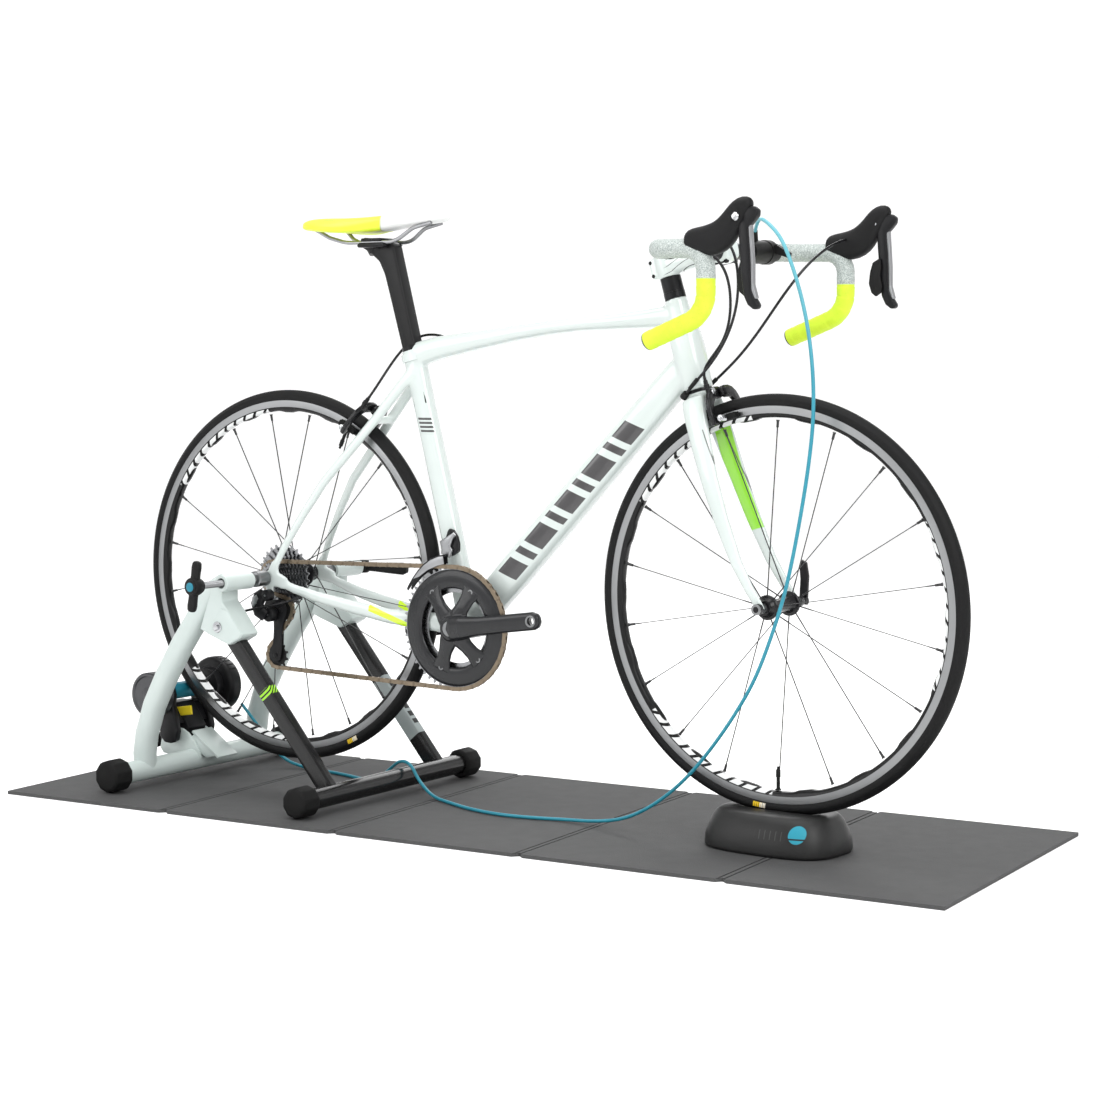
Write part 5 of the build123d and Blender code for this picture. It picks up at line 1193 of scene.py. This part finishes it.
bm = bmesh.new()
tube(bm, [(crank_place(a, 0, y), depth, width, 3.4) for a, y, depth, width in (
    (-12, -57, 30, 14), (2, -58, 42, 18), (22, -60, 40, 18), (60, -62, 33, 15.5), (110, -62.5, 31, 15),
    (160, -62.5, 31, 15), (176, -62.5, 31, 15), (184, -62.5, 24, 14), (188, -62.5, 12, 10))], segments=32)
for turn in SPIDER_ANGLES:
    angle = CRANK_LIFT + radians(turn)
    tube(bm, [(polar(BB, r, angle, y), depth, width, 2.8) for r, y, depth, width in (
        (4, -55, 40, 13), (26, -55.5, 34, 12), (42, -55, 27, 9.5), (58, -53.2, 28, 7.6), (68, -52, 34, 6.5),
        (78, -51, 40, 5.5))], segments=24)
turned_shape(bm, [(0.01, -46), (21, -46), (22, -50), (22, -60), (20, -64), (0.01, -65)], at(*BB),
             closed=False)
bar(bm, at(*BB, -64), at(*BB, 53), 12)
tube(bm, [(crank_place(-a, 0, y), depth, width, 3.4) for a, y, depth, width in (
    (-12, 51, 30, 16), (2, 52, 40, 18), (22, 54, 36, 18), (60, 56.5, 31, 16), (110, 59, 29, 15.5),
    (160, 60, 29, 15), (176, 60, 29, 15), (184, 60, 22, 14), (187, 60, 12, 10))], segments=32)
crank = piece("crank_arms", bm, ring_gloss, "crankset", ("cranks_and_spider",), sharp=60)
grown_together(crank, 0.0012, 7)
bm = bmesh.new()
for side in (1, -1):
    ends = sorted((-90 * side, -45 * side))
    bar(bm, *(crank_place(side * CRANK_LENGTH, 0, y) for y in ends), 7.3, segments=32)
cut_out(crank, "pedal_threads", bm)
crank.data.polygons.foreach_set("use_smooth", [True] * len(crank.data.polygons))
bm = bmesh.new()
for side, y in ((1, -70.3), (-1, 67.8)):
    turned_shape(bm, [(7.2, 0), (9.6, 0), (9.9, 0.3), (9.9, 1.6), (7.2, 1.6)],
                 crank_place(side * CRANK_LENGTH, 0, y),
                 steps=40, axis=(0, side, 0))
turned_shape(bm, [(0.01, -63.5), (6.2, -63.5), (6.6, -65.6), (12.6, -65.9), (13.2, -65.2), (13.2, -63)],
             at(*BB),
             steps=40, closed=False)
for turn in SPIDER_ANGLES:
    spot = polar(BB, 73, CRANK_LIFT + radians(turn), -54.6)
    turned_shape(bm, [(0.01, 0.9), (2.6, 0.9), (2.9, 0.1), (4.8, 0.1), (5.2, 0.5), (5.2, 2.4)], spot,
                 steps=24,
                 closed=False)
piece("crank_bolts", bm, grey_steel, "crankset")

bm = bmesh.new()
for n, teeth in enumerate(COG_TEETH):
    toothed(bm, REAR_AXLE, teeth, 1.7, CHAIN_Y + (n - COG_TEETH.index(CHAIN_COG)) * COG_STEP, 17, height=2.2,
            depth=3.4)
piece("cog_set", bm, cog_steel, "cassette", ("cassette",), sharp=30)
round_piece("cog_carrier", [(5.2, -58), (14, -58), (16, -57.2), (17.2, -56), (17.2, -19), (5.2, -19)],
            rear_middle,
            satin_black, "cassette")
for name, (x, z) in (("guide_pulley", GUIDE_PULLEY), ("tension_pulley", TENSION_PULLEY)):
    bm = bmesh.new()
    toothed(bm, (x, z), PULLEY_TEETH, 2.3, CHAIN_Y, 12, height=2.2, depth=3.0)
    turned_shape(bm, [(3, -3.4), (8.4, -3.4), (8.8, -3), (8.8, -1.2), (12.4, -1.0), (12.4, 1.0), (8.8, 1.2),
                      (8.8, 3),
                      (8.4, 3.4), (3, 3.4)], at(x, z, CHAIN_Y), steps=40)
    piece(f"{name}_wheel", bm, moulded_black, name, (name,))

bm = bmesh.new()
cage_side = [(28, 340), (33, 331), (31, 318), (23, 300), (20, 270), (20, 252), (17, 239), (9, 231), (-2, 232),
             (-9, 241), (-8, 254), (0, 266), (2, 290), (2, 306), (-4, 318), (-16, 322), (-22, 330),
             (-16, 342), (4, 346),
             (18, 346)]
slab(bm, cage_side, CHAIN_Y - 6.5, CHAIN_Y - 4.5, 0.7)
slab(bm, [(29, 334), (24, 318), (16, 290), (15, 252), (12, 236), (2, 234), (-4, 244), (2, 268), (6, 300),
          (8, 322),
          (16, 338)], CHAIN_Y + 4.5, CHAIN_Y + 6.3, 0.7)
for x, z in (GUIDE_PULLEY, TENSION_PULLEY):
    turned_shape(bm, [(0.01, -8.4), (3.4, -8.2), (4.6, -7.4), (4.6, -6.2), (2.4, -6.2), (2.4, 7.2),
                      (0.01, 7.4)],
                 at(x, z, CHAIN_Y), steps=24, closed=False)
bar(bm, at(4, 320, CHAIN_Y - 21.5), at(4, 320, CHAIN_Y - 6), 4.4)
piece("rear_cage_plates", bm, satin_black, "rear_derailleur_cage", ("derailleur_cage",))

# ------------------------------------------------------------------ derailleur bodies
bm = bmesh.new()
turned_shape(bm, [(0.01, -73.6), (11.4, -73.4), (13, -71.6), (13, -58.2), (12, -57.2), (5, -57.2)],
             at(4, 320),
             steps=40, closed=False)
tube(bm, [(at(x, z, y), depth, width, 3) for x, z, y, depth, width in (
    (2, 358, -80, 20, 12), (-6, 352, -82, 26, 13), (-12, 340, -82, 26, 13), (-8, 326, -80, 26, 14),
    (2, 318, -76, 22, 14))], segments=26)
turned_shape(bm, [(0.01, -87), (8, -86.6), (10.4, -84.6), (10.4, -72.5), (0.01, -72)], at(10, 356), steps=36,
             closed=False)
back = bmesh.new()
tube(back, [(at(x, z, y), depth, width, 3) for x, z, y, depth, width in (
    (392, 446, -32, 20, 7), (386, 456, -30, 30, 11), (380, 466, -27, 32, 13), (372, 474, -20, 28, 12),
    (366, 476, -14.5, 22, 10))], segments=26)
take_in(bm, back)
piece("derailleur_bodies_skin", bm, satin_black, STAND, ("derailleur_bodies",), sharp=50)
bm = bmesh.new()
for x, z, y, r in ((10, 356, -87, 4), (4, 320, -73.6, 4.4), (-10, 342, -88.4, 3)):
    turned_shape(bm, [(0.01, -0.6), (1.8, -0.6), (2.0, 0.4), (r, 0.2), (r + 0.3, 0.8), (r + 0.3, 2.4)],
                 at(x, z, y),
                 steps=24, closed=False)
slab(bm, [(-18, 352), (-8, 357), (-4, 350), (-14, 334), (-20, 338)], -89.2, -88, 0.5)
slab(bm, [(363, 462), (372, 470), (386, 462), (382, 454), (370, 452)], -38.5, -34, 1.4)
piece("derailleur_trim", bm, satin_alloy, STAND)

bm = bmesh.new()
outer = [(BB[0] + r * cos(radians(a)), BB[1] + r * sin(radians(a))) for a, r in (
    (99, 127), (104, 127.5), (112, 126.5), (120, 124), (128, 121), (136, 118.5), (144, 116.8), (147, 116))]
inside = [(BB[0] + r * cos(radians(a)), BB[1] + r * sin(radians(a))) for a, r in (
    (148, 112), (140, 111), (130, 110.8), (118, 110.8), (106, 110.8), (99, 111))]
slab(bm, outer + inside, CHAIN_Y - 6.5, CHAIN_Y - 5.0, 0.6)
slab(bm, outer + inside, CHAIN_Y + 4.8, CHAIN_Y + 6.3, 0.6)
slab(bm, outer[:4] + [(BB[0] + 124 * cos(radians(a)), BB[1] + 124 * sin(radians(a))) for a in (112, 99)],
     CHAIN_Y - 6, CHAIN_Y + 6, 0.5)
piece("front_cage_plates", bm, satin_black, "front_derailleur_cage", ("front_derailleur_cage",))
bm = bmesh.new()
slab(bm, [(x + (BB[0] - x) * 0.02, z + (BB[1] - z) * 0.02) for x, z in outer[:6]] + inside[2:], CHAIN_Y - 7.0,
     CHAIN_Y - 6.4, 0.2)
tube(bm, [(at(x, z, y), depth, width, 3) for x, z, y, depth, width in (
    (374, 442, -36, 20, 8), (378, 452, -37, 24, 9), (374, 462, -37.5, 24, 8), (386, 474, -37, 10, 7),
    (392, 480, -36, 6, 5))], segments=22)
piece("front_cage_face", bm, satin_alloy, "front_derailleur_cage")

# ------------------------------------------------------------------ trainer
bm = bmesh.new()
for side in (1, -1):
    y = side * LEG_Y
    tube(bm, [(at(x, z, y), depth, depth, 2.1) for x, z, depth in (
        (-24, 384, 34), (-40, 372, 40), (-58, 352, 42), (-85, 321, 42), (-126, 266, 42), (-165, 206, 42),
        (-196, 150, 42), (-216, 96, 42), (-222, 60, 42), (-221, 34, 40))], segments=32)
    bar(bm, at(*REAR_FOOT, side * FOOT_END_Y), at(*REAR_FOOT, 0), REAR_FOOT_R, segments=32)
piece("rear_leg_tubes", bm, stand_white, STAND, ("rear_leg_frame",), sharp=50)
bm = bmesh.new()
for side in (1, -1):
    ear = [(-300, 46), (-297, 60), (-288, 74), (-275, 83), (-259, 88), (-243, 86), (-229, 79), (-214, 64),
           (-203, 48),
           (-198, 34), (-240, 30), (-292, 36)]
    slab(bm, ear, side * 26, side * 31, 1.2)
    slab(bm, [(-240, 62), (-217, 78), (-165, 41), (-190, 36)], side * 22, side * 26.5, 0.8)
slab(bm, [(-222, 84), (-158, 40), (-160, 36), (-224, 80)], -27, 27, 0.8)
piece("unit_mount_plates", bm, stand_white, STAND)
bm = bmesh.new()
slope = (at(*FRONT_FOOT) - at(*LEG_TOP)).normalized()
for side in (1, -1):
    top, low = at(*LEG_TOP, side * LEG_Y), at(*FRONT_FOOT, side * LEG_Y)
    tube(bm, [(top, 30, 22, 7), (low - slope * 0.012, 30, 22, 7), (low - slope * 0.006, 26, 20, 7)],
         segments=32)
    bar(bm, at(*FRONT_FOOT, side * FOOT_END_Y), at(*FRONT_FOOT, 0), FRONT_FOOT_R, segments=32)
piece("front_leg_tubes", bm, leg_black, STAND, ("front_leg_frame",), sharp=35)

BRACKET = [(-64, 300), (-44, 292), (4, 276), (30, 290), (34, 296), (4, 334), (-12, 352), (-12, 374),
           (-2, 384), (-6, 394),
           (-24, 392), (-36, 374)]
for side, hand in ((1, "left"), (-1, "right")):
    bm = bmesh.new()
    slab(bm, BRACKET, side * 133, side * 177.5, 2.2, 3)
    slab(bm, [(x - 2, z + 1) for x, z in BRACKET[1:6]] + [(-14, 340)], side * 177.4, side * 178.4, 0.4)
    piece(f"{hand}_bracket_box", bm, stand_white, STAND, ("axle_brackets",) if side == 1 else (),
          sharp=40)
    sleeve = [(9.2, 117), (14.2, 117), (15, 118), (15, 192), (14.2, 193), (9.2, 193)]
    round_piece(f"{hand}_sleeve", [(r, side * y) for r, y in sleeve], rear_middle, stand_white, STAND)
    bolt = [(0.01, 185.5), (4.6, 185.2), (5.6, 184.2), (5.6, 180.6), (9.2, 180.4), (9.8, 179.8),
            (9.8, 177.6), (0.01, 177.6)]
    round_piece(f"{hand}_bracket_bolt", [(r, side * y) for r, y in bolt], at(-22, 306), bright_alloy, STAND,
                closed=False, steps=36)
    cup = [(9.6, 74), (13.4, 74), (14, 74.8), (14, 102.4), (13.4, 103), (9, 104), (8.8, 178), (0.01, 179),
           (0.01, 89),
           (9.4, 88)]
    name, node = ("cam_clamp", "cam_clamp_cup") if side == 1 else ("screw_clamp", "screw_clamp_cup")
    round_piece(f"{name}_cup_skin", [(r, side * y) for r, y in cup], rear_middle, grey_steel, body_of[node],
                (node,),
                closed=False)

threads = []
for n in range(36):
    threads += [(6.0, -(179 + n * 2.0)), (5.2, -(180 + n * 2.0))]
round_piece("clamp_screw_thread", [(0.01, -178)] + threads + [(0.01, -251)], rear_middle, grey_steel,
            body_of["screw_clamp_cup"], closed=False, steps=28, sharp=20)
bm = bmesh.new()
hub_side = [(6.2, -247), (12, -247), (13, -248), (13, -252), (15.5, -254), (16, -256), (16, -268),
            (15, -270), (12.6, -271),
            (12.2, -273), (0.01, -273.4)]
turned_shape(bm, hub_side, rear_middle, steps=48, closed=False)
grip_run = (at(6, 423) - at(-6, 349)).normalized()
grip_middle = at(0, 386, -261)
tube(bm, [(grip_middle + grip_run * (a / 1000), 2 * r, 2 * r) for a, r in (
    (-45, 3), (-44, 6), (-41, 8), (-34, 8.8), (-20, 8.2), (0, 9.5), (20, 8.2), (34, 8.8), (41, 8), (44, 6),
    (45, 3))],
     segments=24)
piece("clamp_handle", bm, moulded_black, body_of["screw_clamp_handle"], ("screw_clamp_handle",))
round_piece("handle_dot", [(0.01, -274), (7.2, -274), (8, -273.6), (8, -272.6)], rear_middle, teal_alloy,
            body_of["screw_clamp_handle"], closed=False, steps=32)
bm = bmesh.new()
bar(bm, at(0, 386, 178), at(0, 386, 213), 6)
piece("cam_pull_rod", bm, grey_steel, body_of["cam_clamp_cup"])
bm = bmesh.new()
tube(bm, [(at(0, z, 207), d, d) for z, d in ((374.5, 22), (376, 26), (396, 26), (397.5, 22))], segments=32)
tube(bm, [(at(x, z, 208), depth, width, 3) for x, z, depth, width in (
    (8, 386, 16, 10), (30, 386, 17, 10), (70, 386, 21, 10), (96, 386, 23, 10), (106, 386, 14, 8))],
    segments=24)
piece("cam_handle", bm, moulded_black, body_of["cam_clamp_lever"], ("cam_clamp_lever",))

# ------------------------------------------------------------------ resistance unit
reach = TYRE_R + 0.3 + 15.5
ROLLER = (reach * cos(radians(221)), REAR_AXLE[1] + reach * sin(radians(221)))
roller_middle, pivot = at(*ROLLER), (-258, 74)
roller_side = [(0.01, 76), (6, 76), (6, 40), (13.5, 39), (15.2, 38), (15.5, 36), (15.5, -36), (15.2, -38),
               (13.5, -39),
               (6, -40), (6, -71), (0.01, -71)]
round_piece("roller_skin", roller_side, roller_middle, teal_alloy, "drive_roller", ("drive_roller",),
            closed=False,
            steps=64)
wheel_side = [(0.01, -100.4), (6, -100.4), (6.4, -99.2), (14, -98.4), (15, -97.6), (34, -97.2), (36, -98.8),
              (39.5, -99),
              (42, -97), (42, -74.5), (40, -72), (8, -71.5), (0.01, -71.5)]
round_piece("flywheel", wheel_side, roller_middle, dark_steel, "drive_roller", closed=False,
            steps=96)
drum_side = [(7, 54), (30, 54), (34, 56), (34, 73), (44, 74.5), (49, 76), (52, 79.5), (53, 84), (53, 98),
             (52, 103),
             (48.5, 107), (44, 108), (20, 108.4), (0.01, 108.4), (0.01, 90), (7, 90)]
round_piece("drum_cover", drum_side, roller_middle, satin_black, "resistance_unit",
            steps=96,
            sharp=40)
bm = bmesh.new()
for n in range(5):
    for start in (38, 148, 258):
        angle = radians(start + n * 11)
        low, high = polar(ROLLER, 52.6, angle, 83), polar(ROLLER, 52.6, angle, 99)
        tube(bm, [(low, 3.4, 2.2, 3), (low.lerp(high, 0.5), 3.4, 2.2, 3), (high, 3.4, 2.2, 3)], segments=10,
             across=(cos(angle), 0, sin(angle)))
piece("drum_slots", bm, rubber_black, "resistance_unit")
bm = bmesh.new()
rx, rz = ROLLER
for side in (1, -1):
    cheek = [(rx - 22, rz - 16), (rx - 26, rz - 2), (rx - 22, rz + 12), (rx - 10, rz + 21),
             (rx + 4, rz + 21), (rx + 15, rz + 12),
             (rx + 20, rz - 4), (rx + 18, rz - 22), (pivot[0] + 22, pivot[1] + 10), (pivot[0] + 18, pivot[1] - 8),
             (pivot[0] + 6, pivot[1] - 14), (pivot[0] - 10, pivot[1] - 13), (pivot[0] - 22, pivot[1] - 2),
             (pivot[0] - 22, pivot[1] + 12)]
    slab(bm, cheek, side * 40, side * 54, 3.0, 3)
slab(bm, [(rx - 30, rz - 24), (rx - 26, rz - 22), (rx + 2, rz - 22), (rx + 6, rz - 27), (pivot[0] + 26, pivot[1] + 14),
          (pivot[0] + 16, pivot[1] - 8), (pivot[0] - 14, pivot[1] - 9), (pivot[0] - 27, pivot[1] + 6)], -24,
          24, 3.0, 3)
slab(bm, [(rx - 28, rz - 25), (rx + 2, rz - 25), (pivot[0] + 14, pivot[1] + 22), (pivot[0] - 18, pivot[1] + 22)], -53, 53,
     2.5, 3)
piece("unit_housing", bm, satin_black, "resistance_unit", ("resistance_housing",), sharp=50)
round_piece("unit_pivot_bolts", [(0.01, -35), (5, -34.8), (6, -33.8), (6, -31.5), (6.4, -31.3), (9, -31.2),
                                 (9, 31.2),
                                 (6.4, 31.3), (6, 31.5), (6, 33.8), (5, 34.8), (0.01, 35)], at(*pivot),
                                 bright_alloy,
            "resistance_unit", closed=False, steps=32)
bm = bmesh.new()
label_from, label_to = at(-262, 116), at(-226, 122)
tube(bm, [(label_from.lerp(label_to, share) + Vector((0, -0.0240, 0)), 17, 4, 6) for share in (0, 0.5, 1)],
     segments=24)
piece("unit_label", bm, yellow_label, "resistance_unit")
stud_from, stud_to = at(pivot[0] - 10, pivot[1] - 4), at(pivot[0] - 66, pivot[1] - 18.5)
bm = bmesh.new()
bar(bm, stud_from, stud_to, 4)
coil = []
stud_run = stud_to - stud_from
side_way, other_way = Vector((0, 1, 0)), stud_run.normalized().cross(Vector((0, 1, 0)))
for n in range(97):
    turn = 2 * pi * n / 12
    coil.append(stud_from + stud_run * (0.25 + 0.62 * n / 96) + (side_way * cos(turn) + other_way * sin(turn)) * 0.0085)
pipe(bm, coil, 1.2, segments=8)
piece("tension_spring", bm, grey_steel, "resistance_unit")
bm = bmesh.new()
knob_in, knob_out = at(pivot[0] - 68, pivot[1] - 19), at(pivot[0] - 92, pivot[1] - 25.2)
knob_run = knob_out - knob_in
loops = []
for share, scale in ((0, 0.86), (0.1, 0.98), (0.8, 1.0), (0.93, 0.94), (1.0, 0.82)):
    loop = section(bm, knob_in + knob_run * share, knob_run, 30 * scale, 30 * scale, segments=72)
    centre = knob_in + knob_run * share
    for v in loop:
        arm = v.co - centre
        turn = atan2(arm.dot(other_way), arm.y)
        v.co = centre + arm * (0.93 + 0.07 * cos(6 * turn))
    loops.append(loop)
skin(bm, loops)
piece("tension_knob_skin", bm, moulded_black, "tension_knob", ("tension_knob",), sharp=40)

for foot, (x, r), bar_r in (("rear", REAR_FOOT, REAR_FOOT_R), ("front", FRONT_FOOT, FRONT_FOOT_R)):
    for side in (1, -1):
        cap = [(bar_r + 1, 216), (bar_r + 4, 216), (r * 0.97, 219), (r * 1.0, 224), (r * 1.0, 250),
               (r * 0.95, 256),
               (r * 0.8, 258.6), (0.01, 259)]
        bm = bmesh.new()
        turned_shape(bm, [(rr, side * y) for rr, y in cap], at(x, r), steps=10, closed=False)
        bmesh.ops.rotate(bm, verts=bm.verts, cent=at(x, r), matrix=Matrix.Rotation(radians(18), 3, "Y"))
        stands = ("foot_caps",) if (foot, side) == ("rear", 1) else ()
        cap_piece = piece(f"{foot}_foot_{side}", bm, rubber_black, STAND, stands,
                          sharp=25)
        modify(cap_piece, "BEVEL", width=0.0016, segments=2, limit_method="ANGLE")
        applied(cap_piece)

# ------------------------------------------------------------------ seat post
bm = bmesh.new()
slab(bm, [(247, 974), (292, 800), (318, 700), (290, 692), (264, 795), (238, 885), (226, 925), (214, 948),
          (196, 962),
          (170, 976), (176, 981), (240, 981)], -13.4, 13.4, 6.0, 4)
piece("post_shaft", bm, carbon_black, "saddle_and_post", ("seatpost",), sharp=60)
bm = bmesh.new()
tube(bm, [(on_seat_tube(a), 46, 38, 2.4) for a in (470, 484)], segments=40)
tube(bm, [(on_seat_tube(a), 40, 32, 2.4) for a in (484, 489)], segments=40)
piece("seat_collar", bm, paint, STAND)

# ------------------------------------------------------------------ riser
bm = bmesh.new()
riser_turn = Matrix.Rotation(-REST_TURN * sin(HEAD), 3, "Z")
steering_on_mat = FOOT - UP * ((FOOT.z - MAT_TOP) / UP.z)
loops = []
for z, length, width, square in ((0.3, 232, 160, 3.0), (4, 236, 164, 3.0), (20, 234, 161, 3.0),
                                 (36, 226, 152, 2.9),
                                 (50, 214, 139, 2.8), (57, 204, 129, 2.8), (60.5, 196, 121, 2.8),
                                 (62, 184, 110, 2.8)):
    loops.append(section(bm, at(1002, z), (0, 0, 1), width, length, square, 96, across=(1, 0, 0)))
skin(bm, loops)
bmesh.ops.rotate(bm, verts=bm.verts, cent=steering_on_mat, matrix=riser_turn)
riser_skin = piece("riser_skin", bm, riser_black, "riser", ("riser_block",), sharp=60)
modify(riser_skin, "BEVEL", width=0.003, segments=3, limit_method="ANGLE")
bm = bmesh.new()
trough = [(250, 24), (312, 18.5), (330, 15.5), (335, 11), (336.8, 7), (336.8, -7), (335, -11), (330, -15.5),
          (312, -18.5), (250, -24)]
turned_shape(bm, trough, front_middle, steps=160)
bmesh.ops.rotate(bm, verts=bm.verts, cent=steering_on_mat, matrix=riser_turn)
bmesh.ops.recalc_face_normals(bm, faces=bm.faces)
cut_out(riser_skin, "tyre_trough", bm)

# ------------------------------------------------------------------ cable housings
def steered(x, z, y):
    return FOOT + BARS_TURN @ (at(x, z, y) - FOOT)


adjuster_top = FOOT + BARS_TURN @ (on_axis(380, 35, -30) - FOOT)
rear_adjuster_top = REAR_BRIDGE + bridge_out * 0.032 + bridge_up * 0.026 + Vector((0, -0.030, 0))
HOUSINGS = {
    "left_gear_housing": [steered(1012, 970, 193), steered(1008, 962, 150), steered(990, 926, 95),
                          at(954, 852, 54),
                          at(908, 780, 36), at(862, 742, 30), at(842, 722, 25.5)],
    "right_gear_housing": [steered(1012, 970, -193), steered(1008, 962, -150), steered(990, 926, -95),
                           at(954, 852, -54),
                           at(908, 780, -36), at(862, 742, -30), at(842, 722, -25.5)],
    "front_brake_housing": [steered(913, 955, -149.7), steered(922, 956, -108), steered(940, 939, -62),
                            steered(942, 877, -38), steered(926, 801, -31), adjuster_top + UP * 0.018,
                            adjuster_top],
    "rear_brake_housing": [at(345, 813, 12), at(334, 818, 15), at(304, 822, 23), at(268, 818, 25),
                           at(240, 792, 13),
                           at(228, 756, -12), rear_adjuster_top + bridge_up * 0.02, rear_adjuster_top],
    "gear_cable_loop": [at(84, 356, -72), at(42, 342, -92), at(-8, 332, -104), at(-44, 324, -96),
                        at(-46, 318, -82)],
}
for name, points in HOUSINGS.items():
    housing = wire(name, points, 2.3, gloss_black, body_of["control_cables"], 12)
    if name == "left_gear_housing":
        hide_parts("control_cables")
bm = bmesh.new()
for start, end in ((at(868, 747.5, -31), at(852, 732, -28.2)), (at(868, 747.5, 31), at(852, 732, 28.2))):
    bar(bm, start, end, 3.6, 3.2, segments=12)
for start, end in ((at(845, 725, -26), at(838, 718, -23)), (at(845, 725, 26), at(838, 718, 23))):
    bar(bm, start, end, 5.4, 6.4, segments=20)
piece("cable_adjusters", bm, moulded_black, STAND)

# ------------------------------------------------------------------ remote cable
CABLE_ROUTE = [(920, 985, 62), (942, 1003, 30), (973, 998, -2), (1006, 972, -13), (1031, 929, -22),
               (1055, 874, -32), (1072, 818, -40), (1084, 756, -48), (1089, 690, -55), (1085, 622, -61),
               (1077, 554, -67), (1066, 486, -71), (1052, 418, -74), (1028, 348, -73), (998, 278, -70),
               (959, 219, -64), (916, 164, -57), (869, 112, -50), (822, 72, -43), (776, 42, -36),
               (728, 20, -28), (668, 8, -19), (600, 3.2, -12), (545, 3.2, -30), (486, 3.2, -38),
               (414, 3.2, -25),
               (352, 3.2, 2), (296, 4, 27), (257, 28, 38), (235, 55, 45), (203, 57, 55), (172, 36, 66),
               (132, 9, 79), (86, 3.2, 98), (32, 3.2, 117), (-31, 3.2, 128), (-92, 3.2, 137), (-136, 14, 136),
               (-170, 44, 131), (-196, 84, 122), (-222, 118, 112)]
remote_line = wire("remote_cord", [at(*p) for p in CABLE_ROUTE], 3.0, jacket, STAND, 10,
                   order=3)
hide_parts("remote_cable")
tuple(at(*CABLE_ROUTE[0]))
